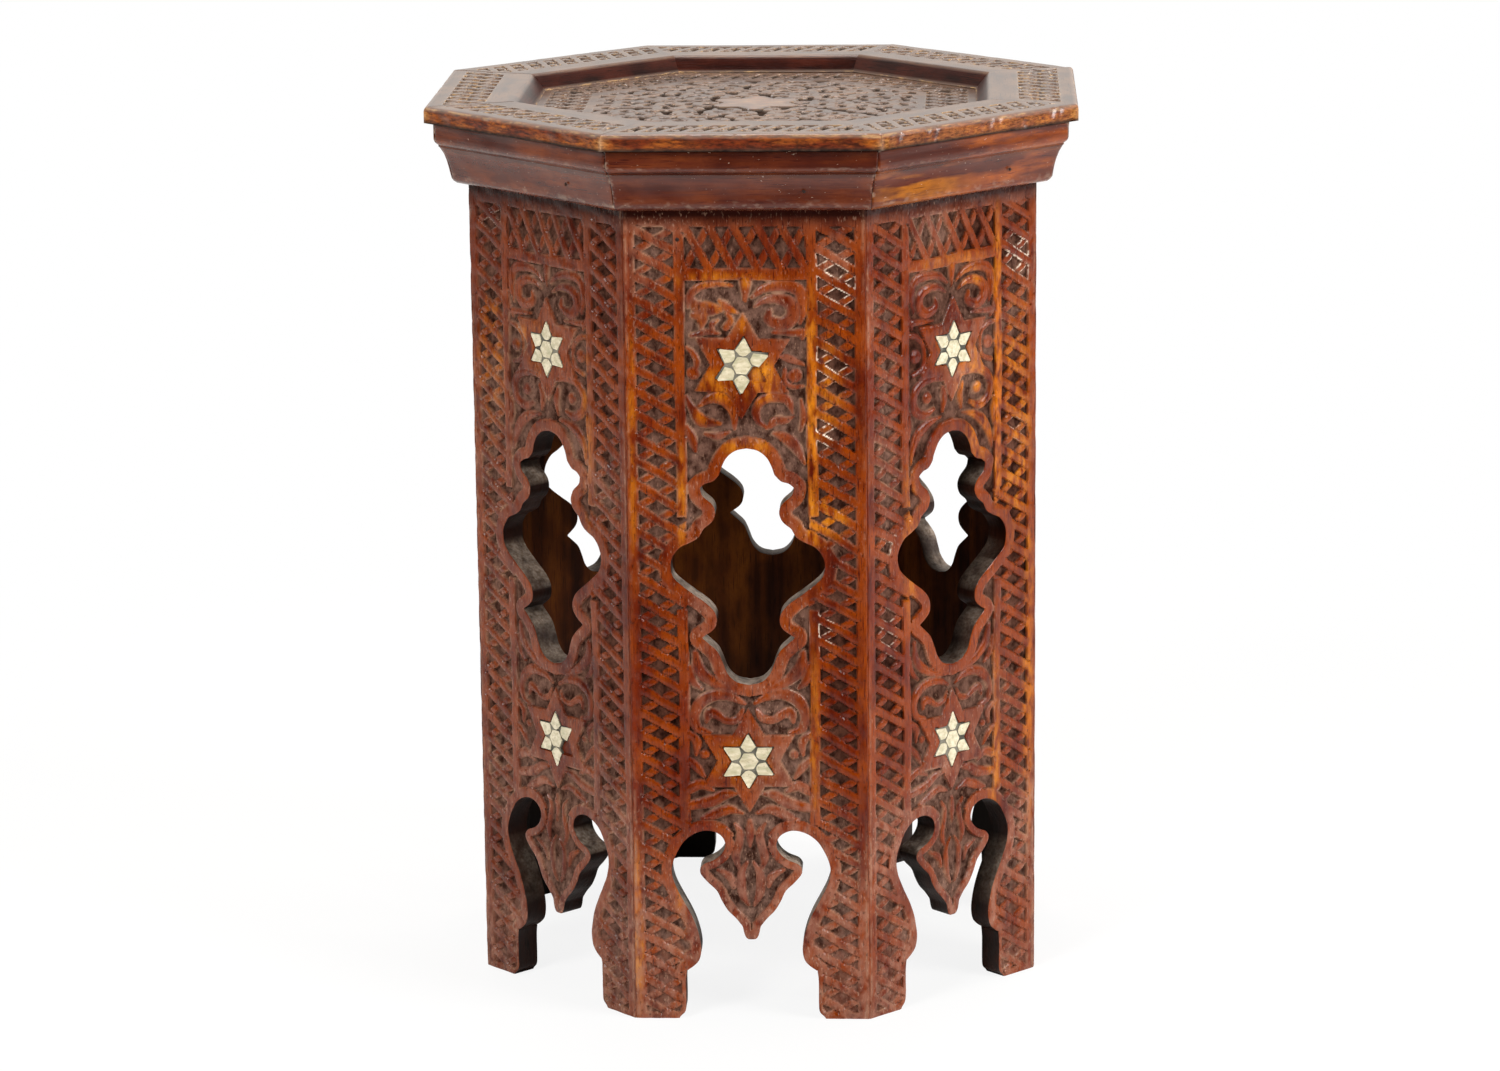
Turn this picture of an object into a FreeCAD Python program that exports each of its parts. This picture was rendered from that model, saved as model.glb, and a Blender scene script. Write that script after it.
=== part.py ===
# Octagonal side table: eight carved boards mitred into a body, a moulded cornice,
# and a recessed top framed by a mitred rim. Lengths are millimetres, +Z is up,
# and the origin is on the floor at the middle of the table. The front board faces -Y.
import FreeCAD, Part
import math
import os

import Sketcher
from FreeCAD import Placement, Rotation, Vector

# Driving sizes
SIZES = {
    "table_height": 460,
    # Body boards
    "body_across": 290,
    "panel_thickness": 13,
    "carving_depth": 2,
    "corner_strip": 5.2,
    "lattice_border": 19.4,
    "stile_width": 4.8,
    "plain_top": 8.5,
    "top_lattice": 21.5,
    "rail_width": 5.5,
    "foot_margin": 3,
    # Middle opening of each board and the raised band round it
    "opening_width": 77.4,
    "opening_height": 122,
    "opening_sill": 177,
    # Arched lower edge with its hanging pendant
    "arch_span": 80.8,
    "arch_crown": 100.2,
    "pendant_width": 52.2,
    "pendant_tip": 42.5,
    # Raised six-point stars and their inlay
    "star_radius": 27,
    "upper_star_centre": 341,
    "lower_star_centre": 137,
    "pearl_radius": 14,
    "pearl_middle": 4.9,
    "pearl_joint": 0.6,
    "pearl_thickness": 1.2,
    "mastic_thickness": 0.5,
    # Cornice
    "cornice_height": 32,
    "cornice_projection": 16.5,
    # Rim laid on the board and the cornice
    "rim_overhang": 4.5,
    "rim_width": 45,
    "rim_thickness": 8.5,
    "rim_worn_edge": 1.2,
    "rim_plain_edge": 9,
    "rim_lattice": 21,
    "recess_bevel": 7,
    # Board that closes the body and carries the carved field
    "board_thickness": 12,
    "board_margin": 4,
    "field_border": 26,
    "field_band_width": 5,
    # Glue blocks in the corners under the board
    "block_leg": 30,
    "block_depth": 14,
    "block_height": 40,
    # Overrun of cuts past the wood
    "cut_overrun": 4,
}

SIDES = ("front", "front_right", "right", "back_right", "back", "back_left", "left", "front_left")
SIDE_ANGLE = 360 / len(SIDES)
MITRE = "tan(22.5 deg)"

# Outlines in shares, right-hand half, each step a line (x, z) or an arc by way of a
# point (x1, z1, x, z). Opening: x of its half width, z of its height above the sill.
opening_top_share = (0.0, 1.0)
opening_step_shares = (
    (0.247, 0.968, 0.349, 0.889),
    (0.605, 0.840),
    (0.426, 0.745),
    (0.426, 0.717),
    (0.685, 0.613),
    (1.000, 0.512, 0.915, 0.434),
    (0.572, 0.352),
    (0.408, 0.283),
    (0.419, 0.250),
    (0.607, 0.201),
    (0.336, 0.098),
    (0.225, 0.026, 0.000, 0.000),
)
# Outer edge of the raised band round the opening, in the same shares.
band_top_share = (0.0, 1.053)
band_step_shares = (
    (0.258, 1.029),
    (0.478, 0.914),
    (0.750, 0.865),
    (0.607, 0.721),
    (0.801, 0.656),
    (1.060, 0.607),
    (1.158, 0.525),
    (0.982, 0.398),
    (0.594, 0.279),
    (0.775, 0.205),
    (0.504, 0.074),
    (0.300, -0.020),
    (0.000, -0.051),
)
# Pendant from its tip to the neck: x of its half width, z from the tip to the crown.
pendant_tip_share = (0.0, 0.0)
pendant_step_shares = (
    (0.120, 0.000),
    (0.190, 0.120),
    (0.480, 0.270),
    (0.630, 0.425),
    (0.860, 0.520),
    (1.000, 0.610),
    (0.960, 0.675),
    (0.600, 0.765),
    (0.498, 0.860),
)
# Arch head and inner edge of the leg: x of half the arch span, z of the crown's height.
arch_step_shares = (
    (0.359, 0.968),
    (0.569, 1.000),
    (0.941, 0.878, 0.941, 0.699),
    (0.743, 0.549),
    (0.636, 0.400, 0.705, 0.285),
    (0.817, 0.262),
)
foot_step_shares = (
    (0.842, 0.235),
    (0.842, 0.035),
    (0.890, 0.000),
)
# Outer edge of the raised band that follows the pendant and the arches, in the same shares.
pendant_band_share = (0.0, 0.130)
pendant_band_step_shares = (
    (0.287, 0.312),
    (0.728, 0.624),
    (0.402, 0.719),
    (0.295, 0.832),
)
arch_band_step_shares = (
    (0.270, 1.020),
    (0.450, 1.059),
    (0.840, 1.010),
    (1.060, 0.890),
    (1.110, 0.780),
    (1.062, 0.677),
    (0.861, 0.524),
    (0.772, 0.409),
    (0.807, 0.323),
    (0.903, 0.294),
    (0.903, 0.220),
)
# Cornice section: outward of the projection, up of the height, from the lower back edge.
cornice_start_share = (0.0, 0.0)
cornice_step_shares = (
    (0.20, 0.00),
    (0.43, 0.045, 0.53, 0.155),
    (0.62, 0.42, 0.84, 0.60),
    (0.88, 0.63),
    (1.00, 0.72),
    (1.00, 1.00),
    (0.00, 1.00),
    (0.00, 0.00),
)

# Inlay pieces that are lost: board, which star, and place counted clockwise from the top point.
LOST_INLAY = {("front", "upper_star_centre", 2), ("front_left", "lower_star_centre", 2)}

doc = FreeCAD.newDocument("octagonal_side_table")
sheet = doc.addObject("Spreadsheet::Sheet", "Sizes")
for row, (name, value) in enumerate(SIZES.items(), start=1):
    sheet.set(f"A{row}", name)
    sheet.set(f"B{row}", str(value))
    sheet.setAlias(f"B{row}", name)
doc.recompute()

# Sizes that follow from the driving ones, written for the sheet
APOTHEM = "Sizes.body_across / 2"
BOARD_TOP = "(Sizes.table_height - Sizes.rim_thickness)"
PANEL_HEIGHT = f"({BOARD_TOP} - Sizes.board_thickness)"
CORNICE_FOOT = f"({BOARD_TOP} - Sizes.cornice_height)"
PANEL_INSIDE = "(Sizes.body_across / 2 - Sizes.panel_thickness)"
GROUND = f"{APOTHEM} - Sizes.carving_depth"
CARVED_TOP = f"({CORNICE_FOOT} - Sizes.plain_top)"
CARVED_HALF = f"({APOTHEM} * {MITRE} - Sizes.corner_strip)"
STILE_OUTSIDE = f"({CARVED_HALF} - Sizes.lattice_border)"
STILE_INSIDE = f"({STILE_OUTSIDE} - Sizes.stile_width)"
RAIL_TOP = f"({CARVED_TOP} - Sizes.top_lattice)"
RAIL_FOOT = f"({RAIL_TOP} - Sizes.rail_width)"
RIM_HALF = "(Sizes.body_across / 2 + Sizes.cornice_projection + Sizes.rim_overhang)"
RECESS_HALF = f"({RIM_HALF} - Sizes.rim_width)"
RECESS_FOOT = f"({RECESS_HALF} - Sizes.recess_bevel)"
FIELD_HALF = f"({RECESS_FOOT} - Sizes.field_border)"
SEAT_RADIUS = "(Sizes.pearl_radius + 2 * Sizes.pearl_joint)"


def measure(text):
    """The number that an expression on the sheet gives."""
    return float(sheet.evalExpression(text))


def new_body(label, turn=0.0):
    """An empty body, turned about the table's upright axis."""
    body = doc.addObject("PartDesign::Body", label)
    body.Label = label
    body.Placement = Placement(Vector(), Rotation(Vector(0, 0, 1), turn))
    return body


def new_sketch(body, name, role, offset="0"):
    """A sketch on one of the body's own planes, moved along the plane's normal."""
    sketch = body.newObject("Sketcher::SketchObject", name)
    plane = next(item for item in body.Origin.OriginFeatures if item.Role == role)
    sketch.AttachmentSupport = [(plane, "")]
    sketch.MapMode = "FlatFace"
    sketch.setExpression("AttachmentOffset.Base.z", offset)
    return sketch


def bound_polygon(sketch, corners):
    """A closed outline whose every corner is held by two expressions on the sheet."""
    first = sketch.GeometryCount
    points = [Vector(measure(x), measure(y), 0) for x, y in corners]
    count = len(points)
    for index in range(count):
        sketch.addGeometry(Part.LineSegment(points[index], points[(index + 1) % count]))
    for index in range(count):
        following = first + (index + 1) % count
        sketch.addConstraint(Sketcher.Constraint("Coincident", first + index, 2, following, 1))
    for index, (x, y) in enumerate(corners):
        for kind, text, number in (("DistanceX", x, points[index].x), ("DistanceY", y, points[index].y)):
            held = sketch.addConstraint(Sketcher.Constraint(kind, -1, 1, first + index, 1, number))
            sketch.setExpression(f"Constraints[{held}]", text)


def walk(start, steps, place):
    """Lines and arcs as tuples of two or three points, from shares that place turns into points."""
    pieces = []
    here = place(*start)
    for step in steps:
        points = [here] + [place(*step[at:at + 2]) for at in range(0, len(step), 2)]
        pieces.append(tuple(points))
        here = points[-1]
    return pieces


def mirrored(pieces):
    """The same run on the other side of the middle line, walked back to its start."""
    return [tuple(Vector(-p.x, p.y, 0) for p in reversed(piece)) for piece in reversed(pieces)]


def draw(sketch, pieces):
    """Lines, and arcs that all run counter-clockwise, laid into a sketch."""
    for piece in pieces:
        if len(piece) == 2:
            sketch.addGeometry(Part.LineSegment(*piece))
            continue
        start, way, end = piece
        if (way - start).cross(end - start).z < 0:
            start, end = end, start
        sketch.addGeometry(Part.Arc(start, way, end))


def pad(body, name, sketch, length, inward=False):
    feature = body.newObject("PartDesign::Pad", name)
    feature.Profile = sketch
    feature.setExpression("Length", length)
    feature.Reversed = inward
    doc.recompute()
    return feature


def pocket(body, name, sketch, depth=None, outward=False):
    """A cut to a depth, or right through where none is given, that has to remove wood."""
    before = body.Shape.Volume
    feature = body.newObject("PartDesign::Pocket", name)
    feature.Profile = sketch
    if depth is None:
        feature.Type = "ThroughAll"
    else:
        feature.setExpression("Length", depth)
    feature.Reversed = outward
    doc.recompute()
    if not body.Shape.Volume < before:
        raise RuntimeError(f"{body.Label}: {name} cuts nothing")
    return feature


def star_corners(radius, centre="0"):
    """Twelve corners of a six-point star with a point upwards, as expressions."""
    corners = []
    for corner in range(12):
        reach = radius if corner % 2 == 0 else f"{radius} / sqrt(3)"
        turn = f"{30 * corner} deg"
        corners.append((f"{reach} * sin({turn})", f"{centre} + {reach} * cos({turn})"))
    return corners


def octagon_corners(half_across):
    corners = []
    for corner in range(8):
        turn = f"{22.5 + 45 * corner} deg"
        reach = f"{half_across} / cos(22.5 deg)"
        corners.append((f"{reach} * cos({turn})", f"{reach} * sin({turn})"))
    return corners


def opening_outline(top, steps):
    """A closed outline round the middle of the opening, from its top in shares."""
    half_width = measure("Sizes.opening_width / 2")
    tall = measure("Sizes.opening_height")
    sill = measure("Sizes.opening_sill")
    half = walk(top, steps, lambda x, z: Vector(x * half_width, sill + z * tall, 0))
    return half + mirrored(half)


def arch_outline(tip, pendant_steps, leg_steps, foot_steps=()):
    """A closed outline below the pendant and the arches, across the legs or past the floor."""
    half_pendant = measure("Sizes.pendant_width / 2")
    pendant_foot = measure("Sizes.pendant_tip")
    half_span = measure("Sizes.arch_span / 2")
    crown = measure("Sizes.arch_crown")
    half = walk(tip, pendant_steps,
                lambda x, z: Vector(x * half_pendant, pendant_foot + z * (crown - pendant_foot), 0))
    leg = walk((0, 0), leg_steps + foot_steps, lambda x, z: Vector(x * half_span, z * crown, 0))
    leg[0] = (half[-1][-1],) + leg[0][1:]
    half += leg
    end = half[-1][-1]
    if foot_steps:
        below = Vector(end.x, -measure("Sizes.cut_overrun"), 0)
        half.append((end, below))
        end = below
    return half + [(end, Vector(-end.x, end.y, 0))] + mirrored(half)


def side_panel(side, turn):
    """A mitred board: sunk ground, raised framing, bands and stars, and its two openings."""
    body = new_body(f"side_panel_{side}", turn)
    section = new_sketch(body, f"section_{side}", "XY_Plane")
    bound_polygon(section, [
        (f"-{APOTHEM} * {MITRE}", f"-{APOTHEM}"),
        (f"{APOTHEM} * {MITRE}", f"-{APOTHEM}"),
        (f"{PANEL_INSIDE} * {MITRE}", f"-{PANEL_INSIDE}"),
        (f"-{PANEL_INSIDE} * {MITRE}", f"-{PANEL_INSIDE}"),
    ])
    pad(body, f"board_{side}", section, PANEL_HEIGHT)

    ground = new_sketch(body, f"ground_outline_{side}", "XZ_Plane", APOTHEM)
    bound_polygon(ground, [
        (f"-{CARVED_HALF}", "Sizes.foot_margin"),
        (CARVED_HALF, "Sizes.foot_margin"),
        (CARVED_HALF, CARVED_TOP),
        (f"-{CARVED_HALF}", CARVED_TOP),
    ])
    pocket(body, f"ground_{side}", ground, "Sizes.carving_depth")

    framing = new_sketch(body, f"framing_outline_{side}", "XZ_Plane", GROUND)
    stile_foot = "Sizes.arch_crown"
    bound_polygon(framing, [
        (STILE_OUTSIDE, stile_foot), (STILE_OUTSIDE, CARVED_TOP),
        (STILE_INSIDE, CARVED_TOP), (STILE_INSIDE, RAIL_TOP),
        (f"-{STILE_INSIDE}", RAIL_TOP), (f"-{STILE_INSIDE}", CARVED_TOP),
        (f"-{STILE_OUTSIDE}", CARVED_TOP), (f"-{STILE_OUTSIDE}", stile_foot),
        (f"-{STILE_INSIDE}", stile_foot), (f"-{STILE_INSIDE}", RAIL_FOOT),
        (STILE_INSIDE, RAIL_FOOT), (STILE_INSIDE, stile_foot),
    ])
    pad(body, f"framing_{side}", framing, "Sizes.carving_depth")

    bands = (
        ("opening_band", opening_outline(band_top_share, band_step_shares)),
        ("arch_band", arch_outline(pendant_band_share, pendant_band_step_shares, arch_band_step_shares)),
    )
    for name, outline in bands:
        band = new_sketch(body, f"{name}_outline_{side}", "XZ_Plane", GROUND)
        draw(band, outline)
        pad(body, f"{name}_{side}", band, "Sizes.carving_depth")

    stars = new_sketch(body, f"star_outlines_{side}", "XZ_Plane", GROUND)
    for centre in ("Sizes.upper_star_centre", "Sizes.lower_star_centre"):
        bound_polygon(stars, star_corners("Sizes.star_radius", centre))
    pad(body, f"stars_{side}", stars, "Sizes.carving_depth")

    lower_edge = arch_outline(pendant_tip_share, pendant_step_shares, arch_step_shares, foot_step_shares)
    cuts = (
        ("opening", opening_outline(opening_top_share, opening_step_shares)),
        ("lower_edge", lower_edge),
    )
    for name, outline in cuts:
        cut = new_sketch(body, f"{name}_outline_{side}", "XZ_Plane", APOTHEM)
        draw(cut, outline)
        pocket(body, f"{name}_{side}", cut)

    seats = new_sketch(body, f"seat_outlines_{side}", "XZ_Plane", APOTHEM)
    for centre in ("Sizes.upper_star_centre", "Sizes.lower_star_centre"):
        bound_polygon(seats, star_corners(SEAT_RADIUS, centre))
    pocket(body, f"seats_{side}", seats, "Sizes.pearl_thickness + Sizes.mastic_thickness")
    return body


def mastic_beds(side, turn):
    """The dark bed at the bottom of the board's two star-shaped seats."""
    body = new_body(f"mastic_{side}", turn)
    outline = new_sketch(body, f"mastic_outline_{side}", "XZ_Plane",
                         f"{APOTHEM} - Sizes.pearl_thickness - Sizes.mastic_thickness")
    for centre in ("Sizes.upper_star_centre", "Sizes.lower_star_centre"):
        bound_polygon(outline, star_corners(SEAT_RADIUS, centre))
    pad(body, f"mastic_bed_{side}", outline, "Sizes.mastic_thickness")
    return body


def pearl_inlay(side, turn):
    """Two stars of mother-of-pearl, each a hexagon and six pointed pieces on the mastic."""
    body = new_body(f"pearl_inlay_{side}", turn)
    outline = new_sketch(body, f"pearl_outline_{side}", "XZ_Plane", f"{APOTHEM} - Sizes.pearl_thickness")
    radius = measure("Sizes.pearl_radius")
    middle = measure("Sizes.pearl_middle")
    half_joint = measure("Sizes.pearl_joint / 2")
    notch = radius / math.sqrt(3)
    for centre in ("upper_star_centre", "lower_star_centre"):
        height = measure(f"Sizes.{centre}")
        hexagon = [(middle, 30 + 60 * corner) for corner in range(6)]
        polygons = [[polar(reach, angle, height) for reach, angle in hexagon]]
        for point in range(6):
            if (side, centre, point) in LOST_INLAY:
                continue
            heading = 90 - 60 * point
            inner = middle + 2 * half_joint
            lean = 30 - math.degrees(half_joint / notch)
            inner_lean = 30 - math.degrees(half_joint / inner)
            kite = ((radius, 0), (notch, lean), (inner, inner_lean), (inner, -inner_lean), (notch, -lean))
            polygons.append([polar(reach, heading + angle, height) for reach, angle in kite])
        for corners in polygons:
            count = len(corners)
            draw(outline, [(corners[at], corners[(at + 1) % count]) for at in range(count)])
    pad(body, f"pearl_pieces_{side}", outline, "Sizes.pearl_thickness")
    return body


def polar(reach, angle, height):
    """A point at a reach and an angle from the middle line at a height."""
    turn = math.radians(angle)
    return Vector(reach * math.cos(turn), height + reach * math.sin(turn), 0)


def mitred_bar(label, turn, draw_section, reach):
    """A bar along the side of the table with the drawn section and both ends mitred."""
    body = new_body(label, turn)
    section = new_sketch(body, f"section_{label}", "YZ_Plane")
    draw_section(section)
    bar = body.newObject("PartDesign::Pad", f"bar_{label}")
    bar.Profile = section
    bar.SideType = "Symmetric"
    bar.setExpression("Length", f"2 * ({reach} * {MITRE} + Sizes.cut_overrun)")
    doc.recompute()
    mitres = new_sketch(body, f"mitres_{label}", "XY_Plane")
    far = f"({reach} + Sizes.cut_overrun)"
    near = f"({reach} / 2)"
    for hand in ("", "-"):
        bound_polygon(mitres, [
            (f"{hand}{near} * {MITRE}", f"-{near}"),
            (f"{hand}{far} * {MITRE}", f"-{far}"),
            (f"{hand}{far}", f"-{far}"),
            (f"{hand}{far}", f"-{near}"),
        ])
    pocket(body, f"mitre_cut_{label}", mitres, outward=True)
    return body


def cornice_section(sketch):
    """Fascia over a quirk, a hollow and a rounded nose that returns to the body."""
    back = measure(APOTHEM)
    out = measure("Sizes.cornice_projection")
    foot = measure(CORNICE_FOOT)
    tall = measure("Sizes.cornice_height")
    draw(sketch, walk(cornice_start_share, cornice_step_shares,
                      lambda x, z: Vector(-back - x * out, foot + z * tall, 0)))


def rim_section(sketch):
    """A flat strip with a worn outer edge, a sunk lattice band and a bevel to the recess."""
    outside = measure(RIM_HALF)
    foot = measure(BOARD_TOP)
    head = measure("Sizes.table_height")
    sunk = head - measure("Sizes.carving_depth")
    worn = measure("Sizes.rim_worn_edge")
    band_outside = outside - measure("Sizes.rim_plain_edge")
    band_inside = band_outside - measure("Sizes.rim_lattice")
    recess = measure(RECESS_HALF)
    recess_foot = measure(RECESS_FOOT)
    points = [
        (-outside, foot),
        (-outside, head - worn),
        (-outside + worn, head),
        (-band_outside, head),
        (-band_outside, sunk),
        (-band_inside, sunk),
        (-band_inside, head),
        (-recess, head),
        (-recess_foot, foot),
        (-outside, foot),
    ]
    draw(sketch, walk(points[0], points[1:], lambda y, z: Vector(y, z, 0)))


def top_board():
    """The board under the rim: sunk border and field, a raised band and a star between."""
    body = new_body("top_board")
    outline = new_sketch(body, "board_outline", "XY_Plane", PANEL_HEIGHT)
    bound_polygon(outline, octagon_corners(f"({APOTHEM})"))
    pad(body, "board", outline, "Sizes.board_thickness")
    carved = new_sketch(body, "field_outline", "XY_Plane", BOARD_TOP)
    bound_polygon(carved, octagon_corners(f"({RECESS_FOOT} - Sizes.board_margin)"))
    bound_polygon(carved, octagon_corners(FIELD_HALF))
    bound_polygon(carved, octagon_corners(f"({FIELD_HALF} - Sizes.field_band_width)"))
    bound_polygon(carved, star_corners("Sizes.star_radius"))
    pocket(body, "field", carved, "Sizes.carving_depth")
    return body


def corner_block(number, turn):
    """A glue block in the corner between two boards, tight under the top board."""
    body = new_body(f"corner_block_{number}", turn)
    outline = new_sketch(body, f"block_outline_{number}", "XY_Plane",
                         f"{PANEL_HEIGHT} - Sizes.block_height")
    corner = f"{PANEL_INSIDE} / cos(22.5 deg)"
    leg = "Sizes.block_leg"
    depth = "Sizes.block_depth"
    points = [(corner, "0")]
    for hand in (1, -1):
        near = (f"{corner} - {leg} * sin(22.5 deg)", f"{hand} * {leg} * cos(22.5 deg)")
        far = (f"{near[0]} - {depth} * cos(22.5 deg)", f"{near[1]} - {hand} * {depth} * sin(22.5 deg)")
        points += [near, far] if hand == 1 else [far, near]
    bound_polygon(outline, points)
    pad(body, f"block_{number}", outline, "Sizes.block_height")
    return body


def build_table():
    nodes = [top_board()]
    for number, side in enumerate(SIDES):
        turn = SIDE_ANGLE * number
        nodes.append(side_panel(side, turn))
        nodes.append(mastic_beds(side, turn))
        nodes.append(pearl_inlay(side, turn))
        reach = "(Sizes.body_across / 2 + Sizes.cornice_projection)"
        nodes.append(mitred_bar(f"cornice_{side}", turn, cornice_section, reach))
        nodes.append(mitred_bar(f"rim_{side}", turn, rim_section, RIM_HALF))
        nodes.append(corner_block(number + 1, turn - SIDE_ANGLE * 1.5))
    return nodes


def save_nodes(nodes):
    for item in doc.Objects:
        if "Invalid" in item.State or "Error" in item.State:
            raise RuntimeError(f"{item.Label} did not compute: {item.State}")
    for node in nodes:
        if node.Shape.isNull() or not node.Shape.isValid():
            raise RuntimeError(f"{node.Label} has no valid shape")
    os.makedirs("parts", exist_ok=True)
    for node in nodes:
        node.Shape.exportStep(f"parts/{node.Label}.step")


table = build_table()
doc.recompute()
save_nodes(table)
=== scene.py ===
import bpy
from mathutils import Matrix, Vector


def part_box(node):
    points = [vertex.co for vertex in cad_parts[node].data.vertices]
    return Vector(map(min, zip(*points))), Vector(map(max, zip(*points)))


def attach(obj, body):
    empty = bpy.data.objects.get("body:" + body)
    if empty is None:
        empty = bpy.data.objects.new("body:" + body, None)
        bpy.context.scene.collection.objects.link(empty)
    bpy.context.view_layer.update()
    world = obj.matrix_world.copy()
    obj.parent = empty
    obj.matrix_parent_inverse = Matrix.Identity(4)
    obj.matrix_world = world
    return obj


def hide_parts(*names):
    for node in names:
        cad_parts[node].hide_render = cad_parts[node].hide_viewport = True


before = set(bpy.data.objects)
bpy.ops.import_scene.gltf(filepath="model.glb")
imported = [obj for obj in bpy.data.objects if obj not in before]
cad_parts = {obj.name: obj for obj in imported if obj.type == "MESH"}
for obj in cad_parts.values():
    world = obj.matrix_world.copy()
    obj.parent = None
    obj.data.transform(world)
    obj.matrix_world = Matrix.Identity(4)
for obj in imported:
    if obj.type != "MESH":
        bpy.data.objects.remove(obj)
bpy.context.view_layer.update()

import math

import bmesh
import bpy
import numpy as np
from mathutils import Matrix, Vector
from mathutils.geometry import delaunay_2d_cdt

# Octagonal carved side table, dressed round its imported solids. Lengths are millimetres and
# become metres at the mesh. On a board, across runs to the right seen from outside, up is
# the height over the floor, and rise is outwards from the flat face, so carving has less.
MM = 0.001
SIDES = ("front", "front_right", "right", "back_right", "back", "back_left", "left", "front_left")
MITRE = math.tan(math.radians(22.5))


def extent(node):
    """The two corners of a node's box in millimetres."""
    low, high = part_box(node)
    return low / MM, high / MM


panel_low, panel_high = extent("side_panel_front")
FACE = -panel_low.y
INSIDE = -panel_high.y
PANEL_HEIGHT = panel_high.z
rim_low, rim_high = extent("rim_front")
RIM_OUTSIDE = -rim_low.y
RECESS_FOOT = -rim_high.y
BOARD_TOP = rim_low.z
TABLE_TOP = rim_high.z
cornice_low = extent("cornice_front")[0]
CORNICE_OUTSIDE = -cornice_low.y
CORNICE_FOOT = cornice_low.z
board_low, board_high = extent("top_board")
BOARD_HALF = board_high.y
BOARD_FOOT = board_low.z

# Carving of the boards. Pairs run from the middle outwards or upwards.
CARVING_DEPTH = 2.0
FEET_DEPTH_SHARE = 0.72  # the feet are cut shallower
SHOULDER = 0.45  # run of the slope from a raised top to its ground
CORNER_STRIP = 5.3
STILE = (30.3, 35.0)
STILE_FOOT = 103.0
STILE_GAP = (216.0, 264.5)
PLAIN_TOP, PLAIN_FOOT = 8.5, 3.0
RAIL = (384.0, 389.5)
OPENING_BAND, ARCH_BAND, PENDANT_BAND = 6.0, 5.2, 3.9
ARCH_BAND_FOOT = 25.0
PENDANT_REACH = (24.0, 97.0)
# Boxes round the opening and the lower edge: left, right, foot and top
OPENING_BOX, LOWER_EDGE_BOX = (-39, 39, 177, 299), (-41, 41, -6, 101)
STAR_RADIUS = 27.0
STAR_HEIGHTS = {"upper": 341.0, "lower": 137.0}
SEAT_RADIUS = 14.95
SEAT_DEPTH = 1.7
# Lattices: from bar to bar, width of the band, half width of a bar
SIDE_LATTICE = (11.8, 19.8, 2.05)
TOP_LATTICE = (12.0, 21.5, 1.9)
RIM_LATTICE = (11.5, 21.0, 1.8)
FIELD_LATTICE = (11.0, 1.7)
RIM_GROUND, FIELD_GROUND = -1.7, -1.5
# Stars that have lost a pointed piece, and which one, clockwise from nought at the top
LOST_INLAY = {("front", "upper"): 2, ("front_left", "lower"): 2}
# Widths of the grids that the carving is cut on
BOARD_STEP, RIM_STEP, TOP_STEP = 0.7, 0.75, 0.85
# Sockets of a Mix node that mixes colours
MIX_SHARE, MIX_UNDER, MIX_OVER, MIX_RESULT = 0, 6, 7, 2


def smooth(points, steps=5):
    """A soft curve through given points, as a denser run of points."""
    points = np.asarray(points, float)
    ends = np.vstack([2 * points[:1] - points[1:2], points, 2 * points[-1:] - points[-2:-1]])
    run = []
    for index in range(len(points) - 1):
        a, b, c, d = ends[index:index + 4]
        for step in range(steps):
            t = step / steps
            run.append(0.5 * (2 * b + (c - a) * t + (2 * a - 5 * b + 4 * c - d) * t ** 2
                              + (3 * b - a - 3 * c + d) * t ** 3))
    run.append(points[-1])
    return np.array(run)


def contour(stretches):
    """Soft stretches joined at their sharp corners."""
    return np.vstack([smooth(stretch) for stretch in stretches])


# Places where the varnish is rubbed to yellow wood: across, up, half width, half height, amount
WEAR = {
    "front": ((32.5, 318, 3.4, 52, 1.0), (8, 332, 8, 11, 1.0), (-18, 368, 9, 8, 0.5),
              (-10, 384, 26, 4, 0.4), (0, 300, 11, 5, 0.8), (34, 263, 7, 14, 0.8),
              (-33, 275, 2.6, 26, 0.7), (-1, 365, 6, 7, 0.6), (-15, 330, 10, 8, 0.5),
              (42, 262, 8, 9, 0.6), (-17, 316, 9, 6, 0.45), (-36, 60, 3, 22, 0.5),
              (33, 150, 3, 40, 0.4), (-57, 300, 2, 60, 0.35), (0, 136, 16, 12, 0.3),
              (-58, 45, 2.5, 45, 0.9), (40, 330, 8, 25, 0.45)),
    "front_right": ((12, 326, 10, 16, 0.9), (32, 330, 3.4, 70, 1.0), (-4, 341, 10, 12, 0.3),
                    (46, 300, 10, 60, 0.6), (-30, 250, 5, 40, 0.4), (30, 120, 4, 60, 0.6),
                    (20, 300, 12, 20, 0.6), (55, 150, 4, 90, 0.7), (0, 386, 26, 4, 0.35),
                    (14, 376, 9, 6, 0.5)),
    "front_left": ((30, 300, 4, 60, 0.3), (-6, 341, 13, 13, 0.25), (-45, 330, 10, 40, 0.35),
                   (-20, 345, 6, 8, 0.4)),
}
# Places where the edges are chipped to bare pale wood, which also paint glints along the edges
SCUFFS_AND_GLINTS = {
    "front": ((44, 385, 12, 30, 0.6), (42, 400, 11, 10, 0.9), (42, 345, 12, 14, 0.45),
              (40, 306, 6, 8, 0.8), (25, 330, 5, 6, 0.3), (38, 205, 8, 12, 0.35),
              (-14, 203, 8, 5, 0.4), (24, 172, 5, 9, 0.6)),
    "front_right": ((-42, 252, 9, 10, 0.7), (47, 385, 9, 30, 0.6), (46, 320, 9, 40, 0.35),
                    (-45, 200, 8, 20, 0.3)),
    "front_left": ((-30, 240, 6, 10, 0.4), (45, 220, 8, 12, 0.4), (-40, 405, 30, 8, 0.3)),
}
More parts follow.
